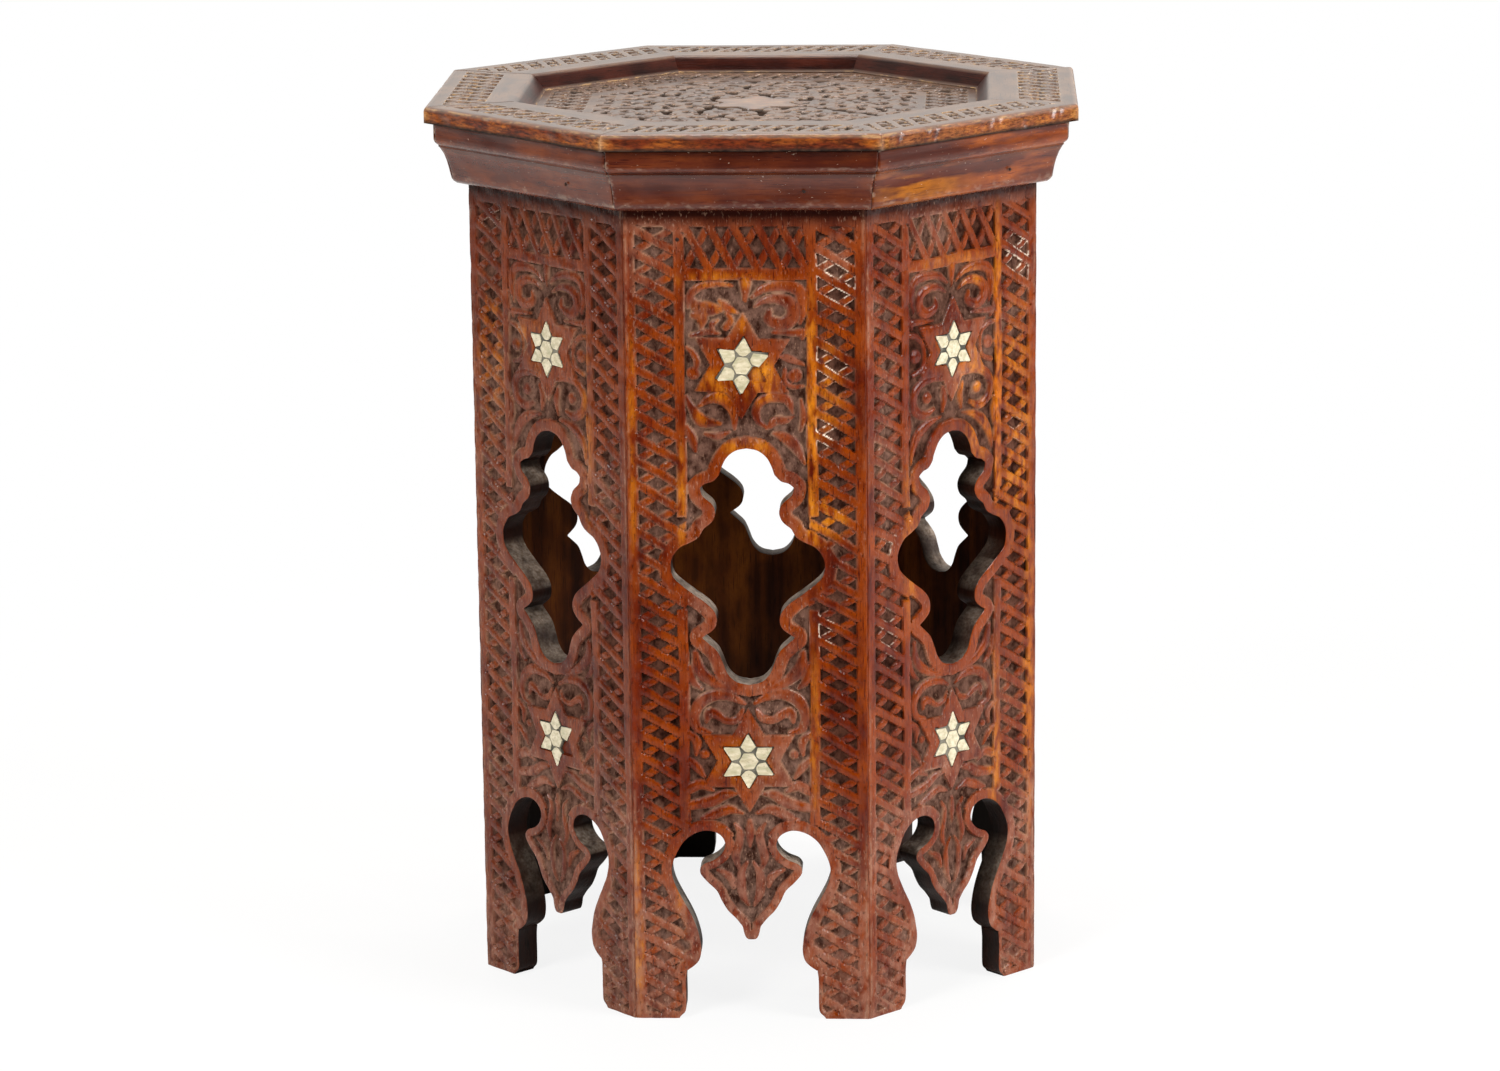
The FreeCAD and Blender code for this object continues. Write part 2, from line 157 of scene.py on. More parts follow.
# Places grey with old dust
GRIME = {
    "front": ((-47, 396, 13, 26, 0.72), (44, 396, 12, 16, 0.8), (14, 374, 18, 10, 0.75),
              (22, 345, 10, 16, 0.8), (0, 306, 26, 7, 0.8), (-24, 172, 9, 16, 0.7),
              (0, 100, 14, 12, 0.85), (24, 130, 8, 26, 0.75)),
    "front_left": ((-20, 250, 60, 150, 0.62), (30, 100, 30, 60, 0.7)),
    "front_right": ((-46, 300, 10, 90, 0.7), (10, 120, 40, 50, 0.6)),
}
# Right half of the fretted opening, from its top to its foot
OPENING = contour((
    ((0, 299), (5.5, 297.8), (9.8, 294.5), (12.3, 290), (13.8, 285.5)),
    ((13.8, 285.5), (17, 282.2), (20.8, 281), (23.6, 278.8)),
    ((23.6, 278.8), (22.3, 274.8), (17.6, 270.5), (16, 266.2), (17.6, 261.5), (22, 257.8)),
    ((22, 257.8), (24.6, 253.4), (29, 250.6), (34, 248.2), (37.6, 243.6), (38.7, 238.8),
     (37.6, 233.2), (33.5, 228.8), (26.5, 223.4)),
    ((26.5, 223.4), (20.6, 219), (16.8, 214.6), (15.8, 210), (17.6, 205.8), (23.5, 201.5)),
    ((23.5, 201.5), (19.2, 197.8), (15.6, 194.2), (13.2, 189), (10.8, 183), (6.4, 178.6), (0, 177)),
))
# Right half of the lower edge, from the pendant's tip over the arch to the foot
LOWER_EDGE = contour((
    ((0, 42.5), (2.2, 42.8), (3.6, 45), (4.6, 49.5)),
    ((4.6, 49.5), (8, 53.8), (12, 58), (15, 63), (17.5, 68.3), (22, 72.8), (25.6, 77.2), (26, 80)),
    ((26, 80), (24, 82.6), (18.5, 85), (14.5, 88.6), (13, 93), (14.8, 97.4), (19, 99.9),
     (24, 100.2), (29.5, 98.2), (34, 94.5), (37.2, 89.5), (39.7, 83.5), (40.4, 78), (38.8, 71.5),
     (35.2, 64), (31, 56), (28, 48.5), (26.2, 41), (26, 35.5), (27.2, 31), (30, 28), (33.4, 25.6)),
    ((33.4, 25.6), (34, 20), (34, 8), (34.6, 3.4), (37.5, 0), (37.5, -6)),
))
# Scroll work of the right half: the path of each leaf or scroll with its half width along it
TOP_SCROLLS = (
    (((3, 375.5), (9, 379.8), (18, 381), (26, 378.5), (28.4, 371), (26.5, 362.5)),
     (0.8, 1.9, 2.5, 2.7, 2.6, 0.8)),
    (((4.4, 371), (9.5, 374), (16, 374.4), (22, 371.4), (22.6, 365.4), (17.6, 361.6), (11.4, 364),
      (11.6, 368.4)), (0.7, 1.7, 2.4, 3.0, 3.1, 2.9, 2.3, 1.2)),
    (((0, 383.5), (0, 378.5), (0, 373)), (2.8, 1.9, 0.4)),
    (((13, 357.4), (19, 357.4), (27.6, 357.6)), (0.7, 1.2, 1.9)),
    (((31, 367), (30.4, 360), (27.5, 354.6)), (0.8, 1.3, 0.8)),
)
WORN_LEAF = (
    (((6.5, 380.8), (13, 381.8), (21.4, 381.2), (27, 377), (28.4, 370.6)),
     (0.7, 1.3, 1.7, 1.7, 0.8)),
    (((3.5, 367.6), (9, 370.2), (13, 373.6)), (0.6, 2.0, 0.8)),
    (((12.4, 369.4), (18.4, 369.6), (24.4, 371), (25.6, 375)), (1.6, 3.2, 2.6, 0.6)),
    (((25.6, 366.4), (21.6, 365.4), (22, 359)), (1.6, 2.7, 0.6)),
    (((13.5, 364), (16.5, 361.6), (15.6, 358.6)), (0.6, 1.3, 0.5)),
    (((9.6, 360.6), (7.2, 364.4), (9.4, 367.6)), (1.7, 1.5, 0.8)),
    (((0, 383.5), (0.5, 379), (1, 374)), (1.6, 1.3, 0.5)),
    (((13, 357.4), (19, 358), (26.5, 356)), (0.7, 1.4, 1.2)),
)
UPPER_SCROLLS = (
    (((29.5, 351.4), (24.6, 350.2), (20.4, 346), (19.4, 340), (21.4, 334), (27.4, 331.4)),
     (1.3, 1.6, 1.3, 1.2, 1.4, 1.2)),
    (((5.6, 326.6), (14, 328), (22, 326.2), (26.8, 320.2), (25.6, 313), (19, 309.4), (12.6, 312)),
     (0.8, 1.9, 2.4, 2.7, 2.7, 2.5, 1.2)),
    (((7, 322.6), (5.2, 316.4), (6.4, 309.6)), (1.4, 2.4, 0.8)),
    (((29.6, 312), (29.6, 306), (30, 299)), (0.9, 1.9, 1.2)),
    (((7.5, 307), (15.6, 305), (22.4, 300.6), (27, 293.6), (28.6, 286)), (0.8, 2.3, 3.0, 2.4, 0.8)),
    (((25.2, 340.8), (25.6, 340.8)), (3.5, 3.5)),
    (((17.1, 318.4), (17.5, 318.4)), (3.1, 3.1)),
)
# The front board's own scrolls beside and below its upper star
FRONT_SCROLLS = {
    -1: ((((29, 350), (25.6, 347), (23.8, 342.5), (25, 338)), (0.8, 1.4, 1.4, 0.8)),
         (((25.6, 337), (26, 337)), (2.7, 2.7)),
         (((23.4, 320), (17, 324), (10.5, 322.6), (6.9, 317), (6.4, 308.5)),
          (0.8, 2.4, 2.8, 2.1, 0.7)),
         (((29.5, 325), (26.6, 318), (22, 311.8), (13.6, 311)), (1.0, 1.9, 2.8, 0.9)),
         (((29.8, 309), (27.4, 303.5), (26, 297)), (1.2, 2.1, 0.8)),
         (((21, 305.6), (15, 304.6), (9, 307)), (0.8, 1.7, 0.6))),
    1: ((((16.4, 345.6), (21, 344.4), (28.6, 341)), (0.8, 1.7, 0.8)),
        (((24, 335.6), (24.4, 335.6)), (3.0, 3.0)),
        (((19, 339), (18.9, 333.4), (22.6, 329.6), (28.4, 330)), (0.8, 1.0, 1.1, 0.8)),
        (((9.8, 308.6), (5.6, 312.6), (4.4, 318), (7.4, 322.8), (14, 324.6), (20.6, 322.6),
          (23.2, 316)), (0.8, 1.5, 1.9, 2.1, 2.4, 2.1, 0.6)),
        (((11.2, 309.6), (14.6, 312.4), (19.4, 312.8), (23.4, 314.6)), (1.3, 2.0, 1.6, 0.5)),
        (((27.4, 323), (28.8, 315), (27, 308)), (0.8, 1.7, 0.8)),
        (((13.6, 306), (20.4, 303.6), (25, 299), (28.8, 291)), (1.0, 2.7, 2.4, 0.8))),
}
LOWER_SCROLLS = (
    (((26.8, 193), (25.2, 184.5), (19, 178.2), (11, 174.2), (4, 172.4)), (1.5, 2.8, 2.5, 1.7, 0.8)),
    (((30, 186), (28.2, 178.4), (24, 174)), (1.2, 1.8, 0.8)),
    (((2.6, 166.6), (8.6, 169.8), (17, 170.8), (24, 167.4), (27.6, 160.6), (26, 153.6),
      (19.6, 151.6)), (0.8, 1.9, 2.6, 2.8, 2.3, 2.0, 0.8)),
    (((3.6, 163), (6.2, 158.4), (11.4, 157.6), (15.6, 160.4), (20, 161.4), (21.4, 157)),
     (0.8, 1.7, 1.6, 1.9, 2.3, 0.8)),
    (((30, 150.5), (26.2, 146.6), (26.6, 140)), (1.5, 2.0, 0.7)),
    (((30, 137.4), (26.2, 133.6), (22.6, 128.6)), (1.5, 1.9, 0.8)),
    (((22, 140.4), (22.4, 140.4)), (1.9, 1.9)),
    (((18.6, 121.6), (24.5, 124.6), (30, 122.4)), (1.0, 2.3, 2.4)),
    (((6.4, 120.6), (12.5, 119.6), (19.4, 115.8), (29.6, 113.6)), (0.8, 2.2, 2.6, 2.2)),
    (((3.6, 110.2), (10.5, 112.2), (18, 109.4), (24, 107)), (0.8, 2.1, 2.2, 1.0)),
    (((0, 106), (0, 100), (0, 92)), (1.2, 2.0, 0.5)),
    (((7.6, 104.6), (5, 100), (5.8, 93.4), (7.4, 87), (5.8, 80.6)), (0.7, 1.6, 1.9, 1.9, 0.7)),
    (((1.5, 84), (4.4, 78.5), (4.9, 72), (3.9, 65.4), (1.4, 60)), (0.6, 1.5, 1.9, 1.6, 0.6)),
    (((8.6, 70), (10.4, 75.6), (16.4, 79.4)), (0.7, 1.8, 0.8)),
)


def unit(value):
    """A value kept between none and all."""
    return np.clip(value, 0, 1)


def fading(value, width):
    """All at nought, fading to none over a width to either side."""
    return np.exp(-(value / width) ** 2)


def mitre_gap(out, across):
    """Distance to the nearest mitre of a strip, at a distance out from the middle."""
    return out * MITRE - np.abs(across)


def strip_distance(value, low, high):
    """Signed distance to the strip between two lines, negative in it."""
    return np.abs(value - (low + high) / 2) - (high - low) / 2


def half_distance(curve, across, up):
    """Signed distance to a mirror-symmetric outline given by its right half, negative inside."""
    across = np.abs(across)
    nearest = np.full(across.shape, 1e9)
    inside = np.zeros(across.shape, bool)
    for (ax, az), (bx, bz) in zip(curve[:-1], curve[1:]):
        dx, dz = bx - ax, bz - az
        long = dx * dx + dz * dz
        if long < 1e-12:
            continue
        t = np.clip(((across - ax) * dx + (up - az) * dz) / long, 0, 1)
        nearest = np.minimum(nearest, (across - ax - t * dx) ** 2 + (up - az - t * dz) ** 2)
        if az != bz:
            crosses = (az > up) != (bz > up)
            inside ^= crosses & (across < (bx - ax) * (up - az) / (bz - az) + ax)
    nearest = np.sqrt(nearest)
    return np.where(inside, -nearest, nearest)


def near(function, across, up, box, reach=9.0):
    """A distance worked out only near its own box, and large elsewhere."""
    low_x, high_x, low_z, high_z = box
    result = np.full(across.shape, reach)
    close = ((across > low_x - reach) & (across < high_x + reach)
             & (up > low_z - reach) & (up < high_z + reach))
    result[close] = function(across[close], up[close])
    return result


def star_distance(across, up, radius, turn=0.0):
    """Signed distance to a six-point star with a point upwards, turned by some degrees."""
    angle = np.arctan2(across, up) - math.radians(turn)
    reach = np.hypot(across, up)
    folded = np.abs((angle + math.pi / 6) % (math.pi / 3) - math.pi / 6)
    x, y = reach * np.cos(folded), reach * np.sin(folded)
    return (x - radius) * math.sin(math.pi / 6) + y * math.cos(math.pi / 6)


def fold(value, pitch):
    """Distance to the nearest whole number of pitches."""
    return np.abs(value / pitch - np.round(value / pitch)) * pitch


class Relief:
    """Raised shapes at given points: distance to the nearest one, and how high its top is."""

    def __init__(self, across, up):
        self.across, self.up = across, up
        self.distance = np.full(across.shape, 50.0)
        self.top = np.zeros(across.shape)

    def raise_shape(self, distance, top=0.0, where=None):
        """Adds a shape wherever it is the nearest one."""
        closer = distance < self.distance
        if where is not None:
            closer &= where
        self.distance = np.where(closer, distance, self.distance)
        self.top = np.where(closer, top, self.top)

    def raise_stroke(self, path, widths, fall):
        """Adds a leaf or scroll along a path, its top rounded down to the edges."""
        path, widths = smooth(path), smooth([(w, 0) for w in widths])[:, 0]
        low, high = path.min(0) - 4.5, path.max(0) + 4.5
        close = np.nonzero((self.across > low[0]) & (self.across < high[0])
                           & (self.up > low[1]) & (self.up < high[1]))
        if not len(close[0]):
            return
        x, z = self.across[close], self.up[close]
        best, share = np.full(len(x), 50.0), np.ones(len(x))
        for index in range(len(path) - 1):
            (ax, az), (bx, bz) = path[index], path[index + 1]
            dx, dz = bx - ax, bz - az
            t = np.clip(((x - ax) * dx + (z - az) * dz) / (dx * dx + dz * dz + 1e-9), 0, 1)
            width = widths[index] + (widths[index + 1] - widths[index]) * t
            gap = np.hypot(x - ax - t * dx, z - az - t * dz)
            closer = gap - width < best
            best = np.where(closer, gap - width, best)
            share = np.where(closer, gap / width, share)
        closer = best < self.distance[close]
        chosen = tuple(axis[closer] for axis in close)
        self.distance[chosen] = best[closer]
        self.top[chosen] = -fall * unit(share[closer]) ** 2 - 0.1


def weave(relief, along, across, pitch, width, bar, region, phase=0.0):
    """Crossed bars: one family runs over, and the other dips under it."""
    slope = pitch / width
    stretch = math.hypot(1, slope)
    over = fold(along + slope * across - phase, pitch) / stretch - bar
    under = fold(along - slope * across - phase, pitch) / stretch - bar * 0.86
    dip = -1.25 * np.exp(-np.clip(over, 0, None) / 1.0)
    relief.raise_shape(under, dip, region & (over > 0))
    relief.raise_shape(over, -0.12 * unit(1 + over / bar), region)


def wander(seed, size, reach):
    """A gentle, repeatable drift over a surface, as the hand leaves it."""
    rng = np.random.default_rng(seed)
    waves = [(rng.normal(0, 1 / reach, 2), rng.uniform(0, 2 * math.pi)) for _ in range(6)]

    def drift(a, b):
        return size * sum(np.sin(k[0] * a + k[1] * b + shift) for k, shift in waves) / 2.4
    return drift


class Board:
    """The pattern of one side board."""

    def __init__(self, side):
        seed = SIDES.index(side) * 10
        self.side = side
        self.shift_across = wander(seed + 1, 0.45, 14.0)
        self.shift_up = wander(seed + 2, 0.55, 14.0)
        rng = np.random.default_rng(seed + 3)
        self.star_turn = {"upper": rng.uniform(-3, 3), "lower": rng.uniform(-3, 3)}
        self.star_across = {"upper": rng.uniform(-0.8, 0.8), "lower": rng.uniform(-0.8, 0.8)}
        self.phase = {-1: 2.0 + rng.uniform(-2, 2), 1: 2.0 + rng.uniform(-2, 2)}
        self.slips = {"upper": rng.uniform(-1.5, 1.5, 6), "lower": rng.uniform(-1.5, 1.5, 6)}
        if side == "front":
            self.star_turn = {"upper": 4.0, "lower": -1.0}
            self.star_across = {"upper": -1.8, "lower": -0.6}
            self.slips["upper"] = (1.5, 4.5, 0, -3, -5, 2.5)

    def edges(self, across, up):
        """Distances to the opening and to the open space below, negative in them."""
        return [near(lambda a, b, curve=curve: half_distance(curve, a, b), across, up, box)
                for curve, box in ((OPENING, OPENING_BOX), (LOWER_EDGE, LOWER_EDGE_BOX))]

    def wood(self, across, up):
        """Distance to the nearest sawn edge, negative in the wood."""
        return -np.minimum(*self.edges(across, up))

    def carve(self, across, up):
        """Distance to the raised wood and its height."""
        relief = Relief(across, up)
        drift_across = across + self.shift_across(across, up)
        drift_up = up + self.shift_up(across, up)
        side = np.abs(drift_across)
        carved_top = CORNICE_FOOT - PLAIN_TOP
        border_outside = FACE * MITRE - CORNER_STRIP
        # The side lattices widen where a stile stops, beside the opening and at the feet
        pitch, width, bar = SIDE_LATTICE
        bar = bar - 0.3 * fading(up, 80)
        middle = (border_outside + STILE[1]) / 2
        for hand in (-1, 1):
            outwards = drift_across * hand
            region = outwards > STILE[1] - 1
            region |= (outwards > STILE[0]) & ((drift_up < 108) | (np.abs(drift_up - 240) < 24))
            weave(relief, drift_up, drift_across - hand * middle, pitch, width, bar, region,
                  self.phase[hand] + 3.0)
        weave(relief, drift_across, drift_up - (RAIL[1] + carved_top) / 2, *TOP_LATTICE,
              (drift_up > RAIL[1] - 1) & (side < STILE[0] + 1))
        # Scrolls and leaves, bolder on the front board
        scrolls = Relief(across, up)
        own = self.side == "front"
        for hand in (-1, 1):
            half = Relief(drift_across * hand, drift_up)
            strokes = LOWER_SCROLLS + (FRONT_SCROLLS[hand] if own else UPPER_SCROLLS)
            strokes += WORN_LEAF if own and hand < 0 else TOP_SCROLLS
            for line, widths in strokes:
                half.raise_stroke(line, [w * (1.18 if own else 1) for w in widths], 0.7)
            scrolls.raise_shape(half.distance, half.top)
        relief.raise_shape(scrolls.distance, scrolls.top, side < STILE[0] + 1)
        # Frame
        stile = np.maximum(strip_distance(side, *STILE), -strip_distance(drift_up, *STILE_GAP))
        relief.raise_shape(np.maximum(stile, STILE_FOOT - drift_up))
        relief.raise_shape(np.maximum(strip_distance(drift_up, *RAIL), side - STILE[1]))
        for name, height in STAR_HEIGHTS.items():
            def star(a, b, height=height, turn=self.star_turn[name] * 0.3):
                return star_distance(a, b - height, STAR_RADIUS, turn)
            relief.raise_shape(near(star, across - self.star_across[name], up,
                                    (-STAR_RADIUS, STAR_RADIUS,
                                     height - STAR_RADIUS, height + STAR_RADIUS)))
        # Bands that follow the sawn edges, and plain strips at the board's own edges
        opening, lower = self.edges(across, up)
        relief.raise_shape(opening - OPENING_BAND)
        relief.raise_shape(lower - 1.8)
        pendant = (side < PENDANT_REACH[0]) & (up < PENDANT_REACH[1])
        band = np.where(pendant, PENDANT_BAND, ARCH_BAND)
        relief.raise_shape(np.maximum(lower - band, ARCH_BAND_FOOT - up))
        relief.raise_shape(border_outside - np.abs(across))
        relief.raise_shape(carved_top - up)
        relief.raise_shape(up - PLAIN_FOOT)
        return relief

    def seats(self, across, up):
        """Distance to the star-shaped seats of the inlay."""
        gap = np.full(across.shape, 50.0)
        for name, height in STAR_HEIGHTS.items():
            gap = np.minimum(gap, star_distance(across - self.star_across[name], up - height,
                                                SEAT_RADIUS, self.star_turn[name]))
        return gap


def snap(across, up, value, function, free, step):
    """Moves grid points next to an outline onto it, and says which ones."""
    marked = np.zeros(value.shape, bool)
    for first, second in ((np.s_[:-1, :], np.s_[1:, :]), (np.s_[:, :-1], np.s_[:, 1:])):
        a, b = value[first], value[second]
        change = (a < 0) != (b < 0)
        smaller = np.abs(a) <= np.abs(b)
        marked[first] |= change & smaller
        marked[second] |= change & ~smaller
    marked &= free
    x, z, here = across[marked], up[marked], value[marked]
    small = step * 0.05
    slope_x = (function(x + small, z) - here) / small
    slope_z = (function(x, z + small) - here) / small
    steep = np.maximum(slope_x ** 2 + slope_z ** 2, 0.25)
    move = -here / steep
    across[marked] += np.clip(move * slope_x, -0.6 * step, 0.6 * step)
    up[marked] += np.clip(move * slope_z, -0.6 * step, 0.6 * step)
    return marked


def side_turn(number):
    """The turn from the front board to the board of a number."""
    return Matrix.Rotation(math.radians(360 / len(SIDES) * number), 4, "Z")


def placed(name, data):
    """A new object in the scene."""
    thing = bpy.data.objects.new(name, data)
    bpy.context.scene.collection.objects.link(thing)
    return thing


def shaped(name, shape):
    """The mesh of a finished bmesh."""
    mesh = bpy.data.meshes.new(name)
    shape.to_mesh(mesh)
    shape.free()
    return mesh


def mesh_object(name, points, faces, kinds, finishes, place, carving, soil=None, number=0):
    """An object from arrays, turned to the side of a number: corner lists of three or four,
    material numbers, and three attributes: the place in the wood with the grain first; depth,
    edge and tone, which also carry painted shade, highlight and shadow; and dust, wear and
    scuffs, the scuffs also painted glints."""
    mesh = bpy.data.meshes.new(name)
    loops = faces[faces >= 0]
    counts = (faces >= 0).sum(1)
    spin = np.array(side_turn(number).to_3x3())
    mesh.vertices.add(len(points))
    mesh.vertices.foreach_set("co", (points @ spin.T * MM).astype(np.float32).ravel())
    mesh.loops.add(len(loops))
    mesh.loops.foreach_set("vertex_index", loops.astype(np.int32))
    mesh.polygons.add(len(counts))
    starts = np.concatenate([[0], np.cumsum(counts)[:-1]])
    mesh.polygons.foreach_set("loop_start", starts.astype(np.int32))
    mesh.polygons.foreach_set("loop_total", counts.astype(np.int32))
    mesh.polygons.foreach_set("material_index", np.asarray(kinds, np.int32))
    mesh.polygons.foreach_set("use_smooth", np.ones(len(counts), bool))
    mesh.update(calc_edges=True)
    mesh.validate()
    soil = np.zeros((len(points), 3)) if soil is None else soil
    for title, values in (("grain", place * MM), ("carving", carving), ("soil", soil)):
        layer = mesh.attributes.new(title, "FLOAT_VECTOR", "POINT")
        layer.data.foreach_set("vector", values.astype(np.float32).ravel())
    mesh.set_sharp_from_angle(angle=math.radians(32))
    for finish in finishes:
        mesh.materials.append(finish)
    thing = placed(name, mesh)
    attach(thing, "root")
    return thing


def open_edges(faces):
    """Edges that only one face uses, in that face's direction."""
    pairs = []
    four = faces[:, 3] >= 0
    for rows, corners in ((faces[four], 4), (faces[~four], 3)):
        for index in range(corners):
            pairs.append(rows[:, [index, (index + 1) % corners]])
    pairs = np.vstack(pairs).astype(np.int64)
    size = pairs.max() + 1
    key, back = pairs[:, 0] * size + pairs[:, 1], pairs[:, 1] * size + pairs[:, 0]
    return pairs[~np.isin(key, back)]


def three(corners):
    """Corner lists of three, filled up to the four columns of a face."""
    return np.hstack([corners, np.full((len(corners), 1), -1)])


def trimmed(across, up, state, line):
    """The cells of a grid that lie within a line, less their corners beyond it: the numbers of
    the grid points that are used, and the faces in those."""
    index = np.arange(across.size).reshape(across.shape)
    cells = np.stack([index[:-1, :-1], index[:-1, 1:], index[1:, 1:], index[1:, :-1]], -1)
    cells = cells.reshape(-1, 4)
    corner = state.ravel()[cells]
    beyond = (corner > 0).sum(1)

    def within(rows):
        return line(across.ravel()[rows].mean(1), up.ravel()[rows].mean(1)) < 0

    quads = cells[(beyond == 0) & ((corner.min(1) < 0) | within(cells))]
    rest = np.array([[point for point, place in zip(cells[cut], corner[cut]) if place <= 0]
                     for cut in np.flatnonzero(beyond == 1)])
    faces = np.vstack([quads, three(rest[within(rest)])])
    used, numbers = np.unique(faces[faces >= 0], return_inverse=True)
    compact = np.full(faces.shape, -1)
    compact[faces >= 0] = numbers
    return used, compact


def carved_board(side):
    """One board with its carving, sawn edges, mitres and flat inside."""
    pattern = Board(side)
    number = SIDES.index(side)
    half = FACE * MITRE
    columns = np.linspace(-half, half, 2 * round(half / BOARD_STEP) + 1)
    rows = np.linspace(0, PANEL_HEIGHT, round(PANEL_HEIGHT / BOARD_STEP) + 1)
    across, up = np.meshgrid(columns, rows)
    # Grid points move onto the sawn edges first, then onto the edges of the carving
    inner = np.zeros(across.shape, bool)
    inner[1:-1, 1:-1] = True
    wood = pattern.wood(across, up)
    free_edge = np.ones(across.shape, bool)
    free_edge[:, [0, -1]] = False
    foot_row = up[0].copy()
    sawn = snap(across, up, wood, pattern.wood, free_edge, BOARD_STEP)
    up[0] = foot_row
    state = np.where(sawn, 0, np.where(wood < 0, -1, 1))

    relief = pattern.carve(across, up)
    carved = snap(across, up, relief.distance, lambda a, b: pattern.carve(a, b).distance,
                  inner & (state < 0), BOARD_STEP)
    raised = np.where(carved, 0.0, relief.distance)
    # Grounds are rough from the gouge, tops worn and rounded, and seats cut flat
    rng = np.random.default_rng(number + 40)
    rough = wander(number + 60, 0.16, 1.3)(across, up) + rng.normal(0, 0.05, across.shape)
    kept = FEET_DEPTH_SHARE + (1 - FEET_DEPTH_SHARE) * unit((up - 25) / 60)
    ground = (-CARVING_DEPTH + rough) * kept
    sunk = unit(raised / SHOULDER)
    worn = wander(number + 80, 1.0, 9.0)(across, up)
    uneven = wander(number + 90, 0.13, 2.2)(across, up) + rng.normal(0, 0.02, across.shape)
    edge = np.exp(-np.abs(raised) / 0.42)
    top = relief.top - 0.16 * np.exp(np.minimum(raised, 0) / 0.5) - 0.22 * unit(worn) * edge
    rise = np.minimum(top + uneven - 0.1, 0) * (1 - sunk) + ground * sunk
    rise = np.where(sawn, np.minimum(rise, 0) - 0.25, rise)
    seat = pattern.seats(across, up)
    rise = np.where(seat < 0, -SEAT_DEPTH, rise)
    lip = unit(1 - mitre_gap(FACE, across))
    rise -= 0.45 * lip ** 2
    across[:, 0], across[:, -1] = -(FACE + rise[:, 0]) * MITRE, (FACE + rise[:, -1]) * MITRE

    # The face, the sawn walls behind its edges, and the inside filled between those
    width = across.shape[1]
    used, compact = trimmed(across, up, state, pattern.wood)
    x, z, h = across.ravel()[used], up.ravel()[used], rise.ravel()[used]
    points = np.stack([x, -(FACE + h), z], 1)
    count = len(points)

    rim = open_edges(compact)
    loop = np.unique(rim)
    behind = np.full(count, -1)
    behind[loop] = count + np.arange(len(loop))
    column = used[loop] % width
    back_x = np.select([column == 0, column == width - 1],
                       [-INSIDE * MITRE, INSIDE * MITRE], x[loop])
    back = np.stack([back_x, np.full(len(loop), -INSIDE), z[loop]], 1)
    walls = np.stack([rim[:, 1], rim[:, 0], behind[rim[:, 0]], behind[rim[:, 1]]], 1)
    local = {vertex: order for order, vertex in enumerate(loop)}
    flat = [Vector((bx, bz)) for bx, bz in zip(back_x, z[loop])]
    ends = [(local[a], local[b]) for a, b in rim]
    _, _, triangles, origin, _, _ = delaunay_2d_cdt(flat, ends, [], 0, 1e-6)
    triangles = np.array([[origin[v][0] for v in corners] for corners in triangles
                          if all(origin[v] for v in corners)])
    places = np.array([back_x, z[loop]]).T[triangles].mean(1)
    triangles = triangles[pattern.wood(places[:, 0], places[:, 1]) < -0.02]
    inside = three(triangles[:, ::-1] + count)

    everything = np.vstack([compact, walls, inside])
    kinds = np.concatenate([np.zeros(len(compact)), np.ones(len(walls)), np.full(len(inside), 2)])
    points = np.vstack([points, back])
    # What the finishes read: depth, edge and tone, then dust, wear and scuffs; tone also carries
    # the painted shadow under the cornice, and scuffs painted glints
    tone = {"front": 1.0, "front_left": 0.35, "front_right": 1.0}.get(side, 0.6)
    # Painted shadow under the cornice's overhang: the plain top strip darkens upwards
    cornice_shadow = np.exp(-np.clip(CORNICE_FOOT - 3 - points[:, 2], 0, None) / 8.0)
    carving = np.zeros((len(points), 3))
    deep = np.where(seat < 0, 0.3, unit(-(rise + 0.35) / 1.4)) * kept
    carving[:count, 0] = deep.ravel()[used]
    # Pale lines along the cut edges: rubbed wear, partly painted highlight
    carving[:count, 1] = (edge * unit(0.55 + 0.6 * worn)).ravel()[used]
    carving[:, 2] = tone * (1 - cornice_shadow) - 0.6 * cornice_shadow
    to_mitre = mitre_gap(FACE, points[:count, 0])
    joint, pale = unit(1 - to_mitre / 0.7), unit(1 - np.abs(to_mitre - 1.4))
    carving[:count, 0] = np.maximum(carving[:count, 0], 0.75 * joint ** 3)
    carving[:count, 1] = np.maximum(carving[:count, 1], 0.7 * pale)
    soil = np.zeros((len(points), 3))
    field = (np.abs(points[:, 0]) < STILE[0]) & (points[:, 2] < RAIL[0])
    soil[:, 0] = np.where(field, *((0.6, 0.26) if side == "front" else (0.42, 0.2)))
    soil[:, 0] += 0.9 * fading(points[:, 2], 75)
    soil[:, 0] += 0.3 * wander(number + 95, 1.0, 16.0)(points[:, 0], points[:, 2])
    soil[:, 0] = unit(soil[:, 0])
    # How grey the sawn walls turn where they face up: dust on the front board, painted light from
    # above on its neighbours
    soil[count:, 0] = {"front": 1.0, "front_left": 0.3, "front_right": 0.28}.get(side, 0.0)
    # Painted shade on the inside, darkening it towards the floor
    carving[count:, 0] = np.exp(-(points[count:, 2] / 105) ** 6)
    for column, spots in enumerate((GRIME, WEAR, SCUFFS_AND_GLINTS)):
        for x_spot, z_spot, wide, tall, amount in spots.get(side, ()):
            gap = ((points[:, 0] - x_spot) / wide) ** 2 + ((points[:, 2] - z_spot) / tall) ** 2
            soil[:, column] = np.maximum(soil[:, column], amount * np.exp(-gap ** 2))
    # Every board is cut from a place of its own in the wood, with upright grain
    place = np.stack([points[:, 2], points[:, 0], points[:, 1]], 1) + 600 * number
    board = mesh_object(f"carved_board_{side}", points, everything, kinds,
                        [carved_walnut, sawn_walnut, inner_walnut], place, carving, soil, number)
    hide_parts(f"side_panel_{side}")
    return pattern


